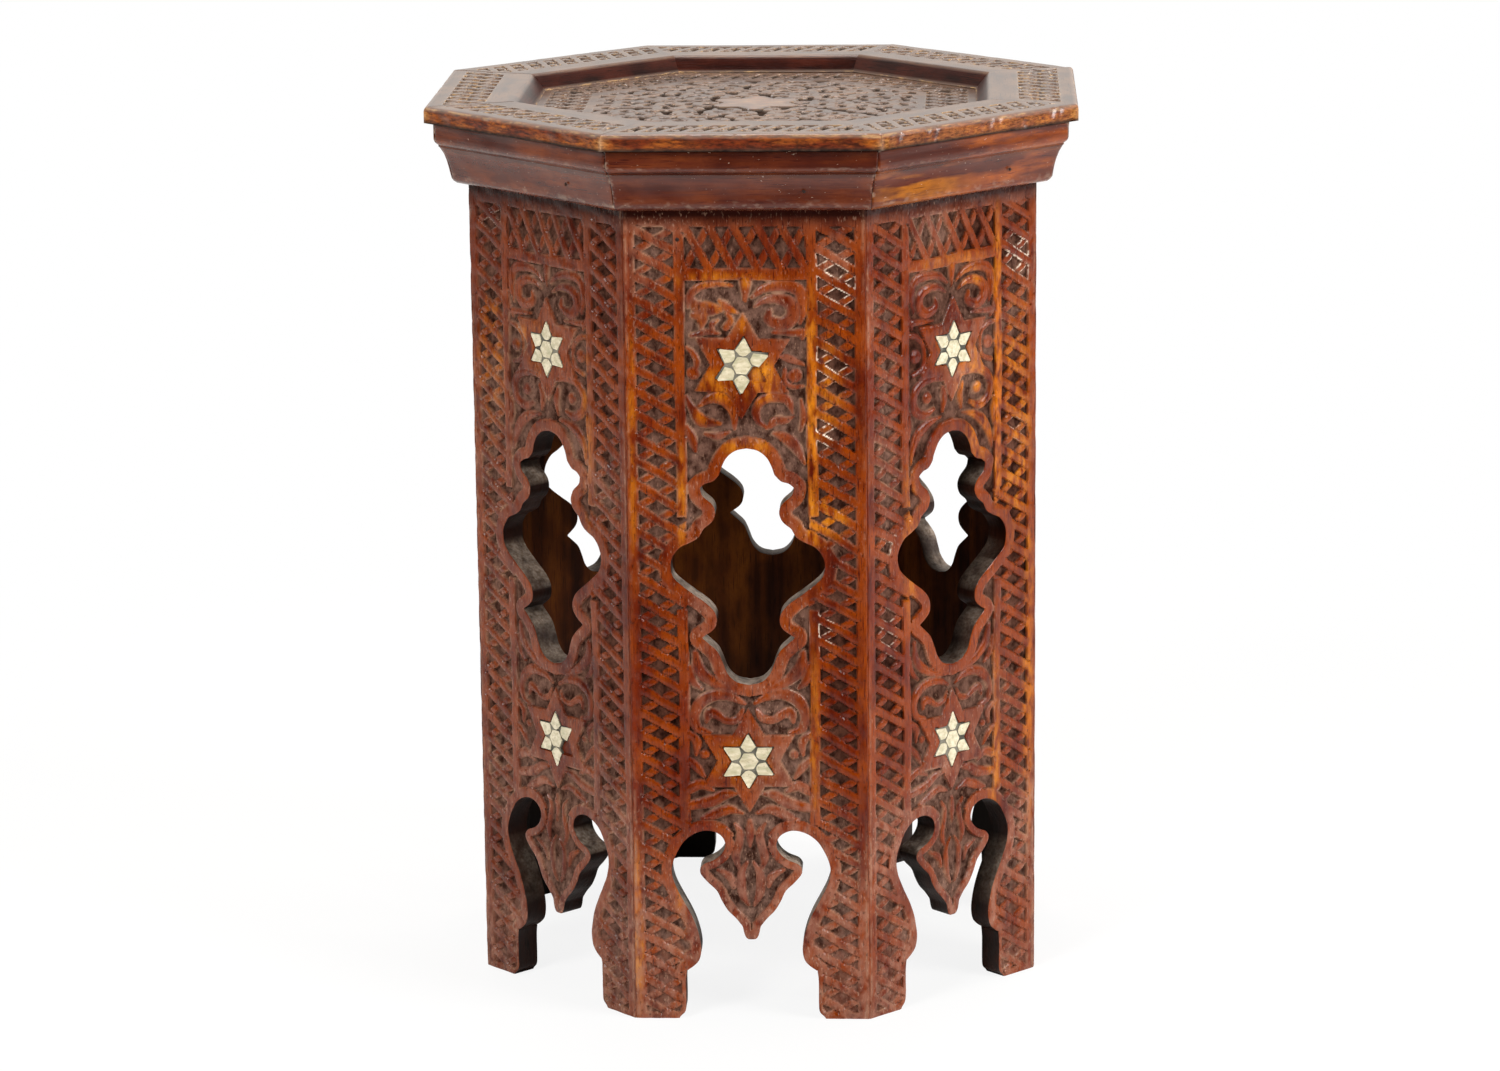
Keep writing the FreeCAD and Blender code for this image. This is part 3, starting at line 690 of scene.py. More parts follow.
def srgb(code):
    """A written colour as linear values."""
    parts = [int(code[i:i + 2], 16) / 255 for i in (1, 3, 5)]
    return [c / 12.92 if c <= 0.04045 else ((c + 0.055) / 1.055) ** 2.4 for c in parts] + [1.0]


def add(owner, kind, sockets=None, **settings):
    """Adds a node with its settings, gives its sockets numbers, written colours or links, and
    returns its outputs."""
    node = owner.node_tree.nodes.new("ShaderNode" + kind)
    for key, value in settings.items():
        setattr(node, key, value)
    for key, value in (sockets or {}).items():
        socket = node.inputs[key]
        if isinstance(value, bpy.types.NodeSocket):
            owner.node_tree.links.new(value, socket)
        else:
            socket.default_value = srgb(value) if isinstance(value, str) else value
    return node.outputs


def new_material(name):
    """A material without nodes."""
    material = bpy.data.materials.new(name)
    material.use_nodes = True
    material.node_tree.nodes.clear()
    return material


def wood_material(name, *titles):
    """A material with the place in the wood, and the three figures of each named attribute."""
    m = new_material(name)
    grain, *carried = (add(m, "Attribute", attribute_name=title)["Vector"]
                       for title in ("grain", *titles))
    return m, grain, *(add(m, "SeparateXYZ", {"Vector": figures}) for figures in carried)


def share_of(m, *factors):
    """Factors multiplied. One is a number, a link, or a link and the levels of none and all."""
    total = None
    for factor in factors:
        if isinstance(factor, tuple):
            value, none, full = factor
            factor = add(m, "MapRange", {"Value": value, "From Min": none, "From Max": full})[0]
        if total is not None:
            factor = add(m, "Math", {0: total, 1: factor}, operation="MULTIPLY")[0]
        total = factor
    return total


def layered(m, colour, *layers):
    """Colours laid over one another, each by the product of the factors after it."""
    for over, *factors in layers:
        sockets = {MIX_SHARE: share_of(m, *factors), MIX_UNDER: colour, MIX_OVER: over}
        colour = add(m, "Mix", sockets, data_type="RGBA")[MIX_RESULT]
    return colour


def speckle(m, vector, across_mm, along_mm, *levels, detail=2.0, rough=0.5, offset=0.0):
    """Noise whose patches have the given size across and along the grain. With two levels it
    goes from none at the first to all at the second."""
    across, along = 1 / (across_mm * MM), 1 / (along_mm * MM)
    scaled = add(m, "Mapping", {"Vector": vector, "Location": (offset, offset, offset),
                                "Scale": (along, across, across)})["Vector"]
    noise = add(m, "TexNoise", {"Vector": scaled, "Scale": 1.0, "Detail": detail,
                                "Roughness": rough})["Fac"]
    return share_of(m, (noise, *levels)) if levels else noise


def wood_colour(m, grain, dark, middle, light):
    """Walnut figure: broad streaks, cloudy varnish, small dark stains and fine dark pores."""
    return layered(m, dark,
                   (middle, speckle(m, grain, 4, 70, 0.35, 0.65)),
                   (light, speckle(m, grain, 14, 26, 0.4, 0.62, detail=4, offset=3)),
                   (dark, speckle(m, grain, 1.5, 3.5, 0.5, 0.72, detail=4, rough=0.7, offset=19),
                    0.45),
                   (dark, speckle(m, grain, 0.7, 12, 0.6, 0.72, detail=1, offset=7)))


def surface(m, colour, sockets):
    """The finished surface of a material."""
    shader = add(m, "BsdfPrincipled", {"Base Color": colour, **sockets})["BSDF"]
    add(m, "OutputMaterial", {"Surface": shader})
    return m


def finish_wood(m, colour, roughness, bump, coat=0.0, distance=0.15, gloss=0.5):
    """Wood or mastic with a bump some tenths of a millimetre deep, under varnish or bare."""
    normal = add(m, "Bump", {"Height": bump, "Strength": 0.8, "Distance": distance * MM})["Normal"]
    return surface(m, colour, {"Roughness": roughness, "Normal": normal, "Coat Weight": coat,
                               "Coat Roughness": 0.22, "IOR": 1.5, "Specular IOR Level": gloss})


def make_carved_walnut():
    """Stained and varnished walnut, cut with gouges: glossy red-brown tops rubbed to orange in
    places, dull grounds full of old dust, pale lines along the cut edges that are rubbed wear
    and partly painted highlight, pale chips that are partly painted glints, and a painted
    shadow under the cornice."""
    m, grain, (depth, edge, tone), (dust, wear, scuff_and_glint) = wood_material(
        "varnished_carved_walnut", "carving", "soil")
    top = layered(
        m, wood_colour(m, grain, "#43160b", "#602815", "#733921"),
        (wood_colour(m, grain, "#491002", "#6b2103", "#823402"), tone),
        (wood_colour(m, grain, "#a44e06", "#c46c0a", "#d48416"),
         wear, speckle(m, grain, 3.5, 9, 0.36, 0.6, detail=3, offset=5)),
        ("#93624e", (dust, 0.5, 0.95), speckle(m, grain, 4, 6, 0.34, 0.64, detail=4, offset=37),
         0.75),
        # Painted shadow under the cornice, where tone falls below nought
        ("#2c0d06", (tone, 0.3, -0.6)))
    dirt = speckle(m, grain, 4.5, 6, 0.36, 0.64, detail=5, rough=0.6)
    clean, dusty = (layered(m, dark, (pale, dirt)) for dark, pale in
                    (("#1d0803", "#471d0b"), ("#2e160d", "#785a4d")))
    ground = layered(m, clean, (dusty, (dust, -0.25, 0.85)))
    # The ground, then pale edge lines that are rubbed wear and partly painted highlight, small
    # hollows, nicks, and edges chipped to bare wood that also paint glints
    colour = layered(
        m, top,
        (ground, (depth, 0.25, 0.8)),
        # Pale edge lines: rubbed wear and partly painted highlight
        ("#9a735b", edge, speckle(m, grain, 5, 8, 0.38, 0.58, offset=11), (dust, 0.05, 0.65), 0.85),
        ("#1f0a04", speckle(m, grain, 1.3, 2.4, 0.6, 0.7, detail=3, offset=33), 0.55),
        ("#a57f69", speckle(m, grain, 1.1, 2.6, 0.6, 0.7, detail=3, offset=31), dust, 0.6),
        # Pale chips at the edges, partly painted glints
        ("#e3d3bf", (share_of(m, edge, scuff_and_glint), 0.1, 0.45), (depth, 0.55, 0.3),
         speckle(m, grain, 3, 4, 0.42, 0.52, offset=2)))
    rough, gloss = (add(m, "MapRange", {"Value": depth, "To Min": raised, "To Max": sunk})[0]
                    for raised, sunk in ((0.2, 0.85), (0.22, 0.05)))
    return finish_wood(m, colour, rough, speckle(m, grain, 2.6, 7), distance=0.55, gloss=gloss)


def make_sawn_walnut():
    """Walnut sawn across the board with a fret saw: dark dull walls with fine upright ripples,
    grey where they face upwards, partly dust and partly painted light from above."""
    m, grain, (old, _, _) = wood_material("sawn_walnut_edge", "soil")
    up = add(m, "SeparateXYZ", {"Vector": add(m, "NewGeometry")["Normal"]})["Z"]
    dust = layered(m, "#86705e", ("#bfad9c", speckle(m, grain, 1.5, 1.5, 0.3, 0.7)))
    colour = layered(m, wood_colour(m, grain, "#0d0402", "#1a0803", "#2a1006"),
                     # Grey on upward faces: dust, and painted light from above on the side boards
                     (dust, (up, 0.15, 0.65), old,
                      speckle(m, grain, 5, 9, 0.2, 0.6, detail=3, offset=35)))
    return finish_wood(m, colour, 0.42, speckle(m, grain, 1.6, 5, detail=3), distance=0.35,
                       gloss=share_of(m, old, 0.3))


def make_inner_walnut():
    """The unseen face of the boards: planed, stained warm dark brown in upright streaks, with
    painted shade darkening it near the floor."""
    m, grain, (low, _, _) = wood_material("stained_walnut_inside", "carving")
    colour = layered(m, wood_colour(m, grain, "#280f04", "#431c08", "#52260b"),
                     (wood_colour(m, grain, "#4a2209", "#6b350e", "#7c4212"),
                      speckle(m, grain, 16, 400, 0.42, 0.56, offset=13)),
                     # Painted shade near the floor
                     ("#0c0502", low))
    return finish_wood(m, colour, 0.6, speckle(m, grain, 0.8, 12, detail=3), gloss=0.12)


def make_moulded_walnut():
    """Planed walnut moulding under old varnish: deep red-brown with amber rubbed places, painted
    shade in the quirk and under the fascia, a painted shadow in the gap under the rim, dark
    mitre joints, pale lines at the nose and lip that are wear and partly painted highlight,
    and small pale nicks."""
    m, grain, (depth, edge, tone) = wood_material("varnished_moulded_walnut", "carving")
    amber = layered(m, wood_colour(m, grain, "#5e2409", "#7a330b", "#90460f"),
                    (wood_colour(m, grain, "#5e2c05", "#7f4209", "#955611"), (tone, 1.0, 1.45)))
    colour = layered(
        m, wood_colour(m, grain, "#3b1309", "#48190a", "#54200e"),
        (amber, speckle(m, grain, 7, 50, 0.42, 0.6, detail=4, offset=5), tone),
        # Painted shade in the quirk, under the fascia and under the rim, and dark mitre joints
        ("#150904", (depth, 0.2, 0.9)),
        # Pale edges: nicks by the mitres, and partly painted highlight at the nose and lip
        ("#97806e", speckle(m, grain, 3, 5, 0.52, 0.7, offset=9), edge),
        ("#b59c88", speckle(m, grain, 0.9, 2.2, 0.72, 0.76, offset=17), 0.7))
    return finish_wood(m, colour, 0.24, speckle(m, grain, 1.8, 40, detail=3), 0.1, distance=0.12,
                       gloss=share_of(m, (tone, 2.0, 0.0), 0.45))


def make_top_walnut():
    """Carved table top, rubbed by use: faded brown with a greyish bloom, dark pockets of dust
    and painted shade, painted shade on the recess's bevel wall, a painted shadow along the
    foot of the rim, and an outer edge worn to speckled golden wood."""
    m, grain, (depth, edge, tone) = wood_material("rubbed_walnut_top", "carving")
    speck = speckle(m, grain, 1.3, 5.5, 0.36, 0.6, detail=4, rough=0.7, offset=21)
    red, orange, golden = (layered(m, dark, (light, speck)) for dark, light in
                           (("#310d04", "#70290a"), ("#5c1e06", "#a65a18"), ("#66290c", "#b37c46")))
    worn = layered(
        m, red, (orange, speckle(m, grain, 8, 22, 0.4, 0.62, offset=23)),
        (golden, (tone, 1.0, 1.5)),
        ("#1f0903", speckle(m, grain, 0.9, 2.6, 0.5, 0.62, detail=4, rough=0.7, offset=39), 0.6))
    ground = layered(m, "#160a05", ("#3d291c", speckle(m, grain, 2.5, 3.5, 0.35, 0.65, detail=3)))
    colour = layered(
        m, wood_colour(m, grain, "#3d1d0e", "#57321b", "#6d4628"),
        (worn, tone),
        # Painted shade on the recess's bevel wall, where tone is below nought
        (wood_colour(m, grain, "#1c0703", "#33110a", "#41190e"), (tone, 0.0, -1.0)),
        # Pockets: dust and painted shade, and the painted shadow along the rim's foot
        (ground, (depth, 0.05, 0.5)),
        ("#a58f7e", edge, 0.5),
        ("#d3a871", speckle(m, grain, 2.2, 9, 0.5, 0.62, detail=5, rough=0.65, offset=27),
         (edge, 0.35, 0.9)))
    rough = add(m, "MapRange", {"Value": depth, "To Min": 0.3, "To Max": 0.85})[0]
    gloss = share_of(m, (tone, -1.3, 0.0), (depth, 1.1, 0.1), (tone, 1.4, 0.8))
    return finish_wood(m, colour, rough, speckle(m, grain, 0.8, 9, detail=3),
                       share_of(m, gloss, 0.25), gloss=share_of(m, gloss, 0.5))


def make_pearl():
    """Mother-of-pearl, sawn and polished: creamy white with faint green bands and brown stains."""
    m = new_material("mother_of_pearl")
    place = add(m, "TexCoord")["Object"]
    colour = layered(m, "#baae8d",
                     ("#d8cdb0", speckle(m, place, 2.2, 5, 0.35, 0.65, detail=4)),
                     ("#a5a07e", speckle(m, place, 3.4, 6, 0.5, 0.75, offset=4)),
                     ("#7d6750", speckle(m, place, 1.2, 1.6, 0.58, 0.72, detail=3, offset=9), 0.5))
    return surface(m, colour, {"Roughness": 0.25, "IOR": 1.55, "Coat Weight": 0.5,
                               "Coat Roughness": 0.1, "Sheen Weight": 0.1})


def make_mastic():
    """Set mastic: black with a green-grey cast, faded in places, dull and slightly grainy."""
    m = new_material("black_mastic")
    place = add(m, "TexCoord")["Object"]
    grit = speckle(m, place, 0.6, 0.6)
    black, grey = (layered(m, dark, (light, grit)) for dark, light in
                   (("#26251c", "#4c4a3f"), ("#57544a", "#8a8474")))
    colour = layered(m, black, (grey, speckle(m, place, 14, 14, 0.42, 0.58, offset=6)))
    return finish_wood(m, colour, 0.7, grit)


def make_softwood():
    """Sawn softwood glue block, darkened by age, with upright grain."""
    m = new_material("aged_softwood")
    place = add(m, "TexCoord")["Object"]
    grain = add(m, "VectorRotate", {"Vector": place, "Axis": (0, 1, 0),
                                    "Angle": math.pi / 2})["Vector"]
    return finish_wood(m, wood_colour(m, grain, "#2a1708", "#4a2c12", "#5c3a1a"), 0.8,
                       speckle(m, grain, 0.7, 6, detail=3))


def make_iron():
    """Old iron pin heads: dull, dark and pitted with rust."""
    m = new_material("dull_iron")
    rust = speckle(m, add(m, "TexCoord")["Object"], 0.5, 0.5, 0.45, 0.6, detail=3)
    return surface(m, layered(m, "#2b2725", ("#4a2a1a", rust)), {"Metallic": 0.8, "Roughness": 0.6})


carved_walnut = make_carved_walnut()
sawn_walnut = make_sawn_walnut()
inner_walnut = make_inner_walnut()
moulded_walnut = make_moulded_walnut()
top_walnut = make_top_walnut()
pearl = make_pearl()
mastic = make_mastic()
softwood = make_softwood()
iron = make_iron()


def swept_strip(name, side, profile, columns, finish, shape):
    """A mitred strip along one side. The profile runs round the section as out, up pairs, and
    shape gives each point's new out, up and its depth, edge and tone."""
    profile = np.asarray(profile, float)
    # Columns crowd towards the mitres, where the joint is drawn
    close = 1 - np.array([0.003, 0.008, 0.016])
    shares = np.sort(np.concatenate([np.linspace(-1, 1, columns), close, -close]))
    columns = len(shares)
    out = np.repeat(profile[:, :1], columns, 1)
    up = np.repeat(profile[:, 1:], columns, 1)
    across = shares[None, :] * out * MITRE
    out, up, across, carving = shape(across, out, up)
    across[:, 0], across[:, -1] = -out[:, 0] * MITRE, out[:, -1] * MITRE
    rows = len(profile)
    index = np.arange(rows * columns).reshape(rows, columns)
    below, above = index, np.roll(index, -1, 0)
    faces = np.stack([below[:, :-1], below[:, 1:], above[:, 1:], above[:, :-1]], -1).reshape(-1, 4)
    points = np.stack([across.ravel(), -out.ravel(), up.ravel()], 1)
    ends = []
    for column, flip in ((0, False), (columns - 1, True)):
        ring = index[:, column]
        flat = [Vector((out[row, column], up[row, column])) for row in range(rows)]
        edges = [(row, (row + 1) % rows) for row in range(rows)]
        _, _, triangles, origin, _, _ = delaunay_2d_cdt(flat, edges, [], 1, 1e-7)
        for triangle in triangles:
            corners = [ring[origin[v][0]] for v in triangle]
            ends.append((corners[::-1] if flip else corners) + [-1])
    everything = np.vstack([faces, np.array(ends)])
    number = SIDES.index(side)
    place = points + 500 * number  # a place of its own in the wood
    strip = mesh_object(f"{name}_{side}", points, everything, np.zeros(len(everything)), [finish],
                        place, carving.reshape(-1, 3), number=number)
    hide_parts(f"{name.split('_')[-1]}_{side}")
    return strip


def dense(points, step):
    """A run of straight pieces cut into short ones."""
    points = [np.array(point, float) for point in points]
    run = []
    for a, b in zip(points, points[1:] + points[:1]):
        pieces = max(1, round(np.linalg.norm(b - a) / step))
        run += [a + (b - a) * k / pieces for k in range(pieces)]
    return np.array(run)


def cornice(side):
    """Fascia, quirk, hollow and rounded nose, with a little movement along its length."""
    reach = CORNICE_OUTSIDE - FACE
    tall = BOARD_TOP - CORNICE_FOOT
    # Shares of the reach and of the height
    nose = [(0.0, 0.0), (0.20, 0.0), (0.33, 0.012), (0.43, 0.045), (0.50, 0.09)]
    hollow = [(0.53, 0.155), (0.575, 0.27), (0.635, 0.385), (0.715, 0.49), (0.80, 0.565),
              (0.84, 0.60)]
    fascia = [(0.865, 0.605), (0.87, 0.635), (0.95, 0.67), (0.985, 0.70), (1.0, 0.735),
              (1.0, 0.985), (0.985, 1.0), (0.0, 1.0)]
    corners = [(FACE + x * reach, CORNICE_FOOT + z * tall) for x, z in nose + hollow + fascia]
    profile = dense(corners, 1.6)[::-1]
    number = SIDES.index(side)
    bend = wander(number + 200, 0.22, 30.0)
    dent = wander(number + 220, 0.12, 5.0)
    tone = {"front_right": 0.95, "front": 0.22, "front_left": 0.35}.get(side, 0.4)

    def shape(across, out, up):
        share = (up - CORNICE_FOOT) / tall
        free = unit((out - FACE) / 3) * unit(share * 8) * unit((1 - share) * 8)
        out = out + (bend(across, up * 0.3) + dent(across, up) - 0.25) * free
        near_mitre = unit(1 - mitre_gap(out, across) / 2.2)
        out = out - 0.5 * near_mitre ** 3 * free
        # Painted shade in the quirk and in a band under the fascia's edge
        quirk = np.maximum(0.85 * fading(share - 0.62, 0.02),
                           0.5 * fading(share - 0.6, 0.09) * (share < 0.62))
        joint = fading(mitre_gap(out, across), 0.75 if side == "front_left" else 0.3)
        joint = joint * np.where(across > 0, 1, 0.6)
        out = out - 0.7 * joint * free
        carving = np.zeros(across.shape + (3,))
        # Depth: painted shade in the quirk, dark mitre joints, and a painted shadow in the gap
        # under the rim
        carving[..., 0] = np.maximum(np.maximum(quirk, joint), 0.9 * (share > 0.965))
        # Pale edges: nicks by the mitres, and lines at the nose and lip that are wear and partly
        # painted highlight
        carving[..., 1] = (0.9 * near_mitre + 0.35 * fading(share - 0.10, 0.06)
                           + 0.4 * fading(share - 0.69, 0.02))
        glow = fading(across + 36, 34) * fading(share - 0.28, 0.24)
        carving[..., 2] = tone + 0.9 * glow * (side == "front_right")
        return out, up, across, carving

    strip = swept_strip("walnut_cornice", side, profile, 60, moulded_walnut, shape)


def rim(side):
    """A rim strip: worn outer edge, sunk lattice band, plain inner flat and bevel."""
    number = SIDES.index(side)
    tall = TABLE_TOP - BOARD_TOP
    recess = RECESS_FOOT + 7.0
    pitch, width, bar = RIM_LATTICE
    band = (RIM_OUTSIDE - 9 - width, RIM_OUTSIDE - 9)
    outer = [(RIM_OUTSIDE, BOARD_TOP + tall * s) for s in (0.0, 0.25, 0.5, 0.7)]
    arris = [(RIM_OUTSIDE - 0.2, TABLE_TOP - 1.6), (RIM_OUTSIDE - 0.7, TABLE_TOP - 0.7),
             (RIM_OUTSIDE - 1.6, TABLE_TOP - 0.15)]
    flats = [(x, TABLE_TOP) for x in np.arange(RIM_OUTSIDE - 3, recess + 0.8, -RIM_STEP)]
    bevel = [(recess + 0.5, TABLE_TOP - 0.1), (recess - 0.1, TABLE_TOP - 0.5)]
    bevel += [(recess - 7.0 * s, TABLE_TOP - tall * s) for s in (0.2, 0.4, 0.6, 0.8)]
    foot = [(RECESS_FOOT, BOARD_TOP), (RECESS_FOOT + 12, BOARD_TOP), (RIM_OUTSIDE - 12, BOARD_TOP)]
    profile = outer + arris + flats + bevel + foot
    dent = wander(number + 300, 0.4, 3.5)
    golden = {"front": 0.0, "front_right": 0.25, "front_left": 0.08}.get(side, 0.12)
    bend = wander(number + 320, 0.25, 40.0)
    shift = wander(number + 340, 0.5, 12.0)
    phase = np.random.default_rng(number + 360).uniform(0, 12)
    columns = 2 * round(RIM_OUTSIDE * MITRE / 0.8) + 1

    def pattern(across, out):
        relief = Relief(across, out)
        weave(relief, across + shift(across, out), out - (band[0] + band[1]) / 2, pitch, width, bar,
              np.ones(across.shape, bool), phase)
        relief.raise_shape(-strip_distance(out, *band))
        relief.raise_shape(mitre_gap(out, across) - 3.0)
        return relief

    def shape(across, out, up):
        carving = np.zeros(across.shape + (3,))
        top = np.zeros(across.shape, bool)
        first = len(outer) + len(arris)
        top[first:first + len(flats), 1:-1] = True
        relief = pattern(across, out)
        moved = snap(across, out, relief.distance, lambda a, b: pattern(a, b).distance,
                     top, RIM_STEP)
        raised = np.where(moved, 0.0, relief.distance)
        sunk = unit(raised / SHOULDER) * top
        rng = np.random.default_rng(number + 380)
        ground = RIM_GROUND + rng.normal(0, 0.08, across.shape)
        up = up + (relief.top * (1 - sunk) + ground * sunk) * top
        near_top = unit((up - BOARD_TOP) / 2)
        edge_zone = unit(1 - (RIM_OUTSIDE - out) / 3)
        chip = np.clip(dent(across, up * 2) - 0.15, 0, 0.8) * edge_zone * near_top
        out = out - chip * 1.4 - 0.15 * edge_zone
        up = up - chip * 0.8 * near_top + (bend(across, out * 0.2) - 0.35) * near_top * 0.5
        to_mitre = mitre_gap(out, across)
        # Painted shadow line along the foot of the outer edge
        rim_foot_shadow = np.exp(-(up - BOARD_TOP) / 0.9) * (out > RIM_OUTSIDE - 1.5)
        rubbed = fading(RIM_OUTSIDE - 1 - out, 0.9) * (up > TABLE_TOP - 2.2)
        corner = fading(to_mitre, 1.5) * (out > RIM_OUTSIDE - 2.5)
        cut_edge = np.exp(-np.abs(raised) / 0.6) * top
        carving[..., 0] = np.maximum(sunk, 0.6 * rim_foot_shadow)
        carving[..., 1] = np.maximum(cut_edge * 0.7, np.maximum(rubbed * 0.65, corner * 0.5))
        lowest = out < RECESS_FOOT + 1
        carving[..., 1] = np.where(lowest, 0.8 * (up > BOARD_TOP - 1), carving[..., 1])
        pale = golden + 0.5 * fading(to_mitre, 4.5)
        # Tone below nought is painted shade on the recess's bevel wall
        carving[..., 2] = (1 + pale) * unit(1 - (RIM_OUTSIDE - out) / 2.6) - (out < recess - 0.6)
        return out, up, across, carving

    strip = swept_strip("carved_rim", side, profile, columns, top_walnut, shape)


def octagon_distance(x, y, half):
    """Signed distance to an octagon with flats towards the sides."""
    root = math.sqrt(0.5)
    a = np.maximum(np.abs(x), np.abs(y))
    b = (np.abs(x) + np.abs(y)) * root
    return np.maximum(a, b) - half


def carved_top():
    """The sunk board of the top: lattice border, raised band, scroll field and plain star."""
    border, band, star = RECESS_FOOT - 4.0, (83.0, 88.0), STAR_RADIUS
    pitch, bar = FIELD_LATTICE
    # Rings of curls: distance from the middle and how many
    rings = ((24.5, 6), (33.5, 13), (45.0, 18), (57.0, 22), (69.0, 27), (79.5, 31))
    seen = RECESS_FOOT + 2.0
    drift_x, drift_y = wander(400, 0.6, 14.0), wander(401, 0.6, 14.0)
    rng = np.random.default_rng(402)
    curls = []
    for ring, (reach, number) in enumerate(rings):
        for k in range(number):
            step = k + 0.5 * (ring % 2) + rng.uniform(-0.1, 0.1) * (ring > 0)
            angle = 2 * math.pi * step / number
            nearest = angle - round(angle / (math.pi / 4)) * math.pi / 4
            heading = np.array([math.cos(angle), math.sin(angle)])
            centre = heading * (reach + rng.uniform(-0.8, 0.8)) * 0.96 / math.cos(nearest)
            hand = 1 if (k + ring) % 2 else -1
            turn = np.linspace(0, 1, 8)
            sweep = angle + hand * (1.5 - 5.6 * turn) + rng.uniform(-0.3, 0.3)
            radius = 8.4 * (1 - 0.8 * turn)
            path = centre + np.stack([np.cos(sweep), np.sin(sweep)], 1) * radius[:, None]
            curls.append((path, 0.9 + 1.5 * np.sin(math.pi * np.sqrt(turn) * 0.9)))

    def pattern(x, y):
        relief = Relief(x, y)
        wx, wy = x + drift_x(x, y), y + drift_y(x, y)
        reach = octagon_distance(x, y, 0.0)
        angle = np.arctan2(wy, wx)
        sector = np.round(angle / (math.pi / 4)) * (math.pi / 4)
        along = -wx * np.sin(sector) + wy * np.cos(sector)
        out = wx * np.cos(sector) + wy * np.sin(sector)
        weave(relief, along, out - (border + band[1]) / 2, pitch, border - band[1], bar,
              (reach < border) & (reach > band[1] - 1))
        field = Relief(wx, wy)
        for path, widths in curls:
            field.raise_stroke(path, widths, 0.4)
        relief.raise_shape(field.distance, field.top, reach < band[0] + 1)
        relief.raise_shape(np.maximum(star_distance(x, y, star + 2), np.hypot(x, y) - star + 3.5))
        relief.raise_shape(strip_distance(reach, *band))
        relief.raise_shape(border - reach)
        return relief

    def rim_line(x, y):
        return octagon_distance(x, y, seen)

    reach = round(seen / TOP_STEP) + 2
    ticks = np.arange(-reach, reach + 1) * TOP_STEP
    x, y = np.meshgrid(ticks, ticks)
    line = rim_line(x, y)
    limit = snap(x, y, line, rim_line, np.ones(x.shape, bool), TOP_STEP)
    state = np.where(limit, 0, np.where(line < 0, -1, 1))
    relief = pattern(x, y)
    moved = snap(x, y, relief.distance, lambda a, b: pattern(a, b).distance,
                 state < 0, TOP_STEP)
    raised = np.where(moved, 0.0, relief.distance)
    sunk = unit(raised / SHOULDER)
    ground = FIELD_GROUND + np.random.default_rng(403).normal(0, 0.1, x.shape)
    dished = wander(404, 0.15, 40.0)(x, y) - 0.2
    rise = relief.top * (1 - sunk) + ground * sunk + dished * (state < 0)
    used, compact = trimmed(x, y, state, rim_line)
    height = BOARD_TOP + np.minimum(rise.ravel()[used], -0.02)
    points = np.stack([x.ravel()[used], y.ravel()[used], height], 1)
    count = len(points)
    # Below the carving the board widens to its full size, then drops to its flat underside
    first, second = open_edges(compact).T
    loop = np.unique(first)
    below = np.full(count, -1)
    below[loop] = count + np.arange(len(loop))
    lower = below + len(loop)
    grow = points[loop] * (BOARD_HALF / seen, BOARD_HALF / seen, 1)
    grow[:, 2] = BOARD_TOP - 0.02
    low = grow.copy()
    low[:, 2] = BOARD_FOOT
    ring = np.stack([second, first, below[first], below[second]], 1)
    side = np.stack([below[second], below[first], lower[first], lower[second]], 1)
    centre = np.full(len(first), count + 2 * len(loop))
    under = three(np.stack([lower[second], lower[first], centre], 1))
    points = np.vstack([points, grow, low, [[0, 0, BOARD_FOOT]]])
    everything = np.vstack([compact, ring, side, under])
    kinds = np.arange(len(everything)) >= len(everything) - len(under)
    carving = np.zeros((len(points), 3))
    carving[:count, 0] = sunk.ravel()[used]
    carving[:count, 1] = (np.exp(-np.abs(raised) / 0.6) * 0.5).ravel()[used]
    in_star = star_distance(points[:, 0], points[:, 1], star)
    carving[:, 2] = 0.75 * unit(-in_star / 3)
    carving[:, 1] = np.maximum(carving[:, 1], 0.5 * unit(-in_star / 3))
    board = mesh_object("carved_top_board", points, everything, kinds, [top_walnut, inner_walnut],
                        points.copy(), carving)
    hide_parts("top_board")


def prism(name, outlines, low, high, finish, bevel):
    """Flat pieces with rounded top edges, from closed outlines on a board's face."""
    shape = bmesh.new()
    for outline in outlines:
        base = [shape.verts.new((x, -(FACE + low), z)) for x, z in outline]
        crown = [shape.verts.new((x, -(FACE + high), z)) for x, z in outline]
        count = len(outline)
        shape.faces.new(crown)
        shape.faces.new(base[::-1])
        for k in range(count):
            shape.faces.new((base[k], base[(k + 1) % count], crown[(k + 1) % count], crown[k]))
    bmesh.ops.recalc_face_normals(shape, faces=shape.faces[:])
    if bevel:
        edges = [e for e in shape.edges if all(abs(v.co.y + FACE + high) < 1e-6 for v in e.verts)]
        bmesh.ops.bevel(shape, geom=edges, offset=bevel, segments=2, affect="EDGES", profile=0.6)
    bmesh.ops.scale(shape, vec=(MM, MM, MM), verts=shape.verts[:])
    mesh = shaped(name, shape)
    mesh.materials.append(finish)
    return placed(name, mesh)


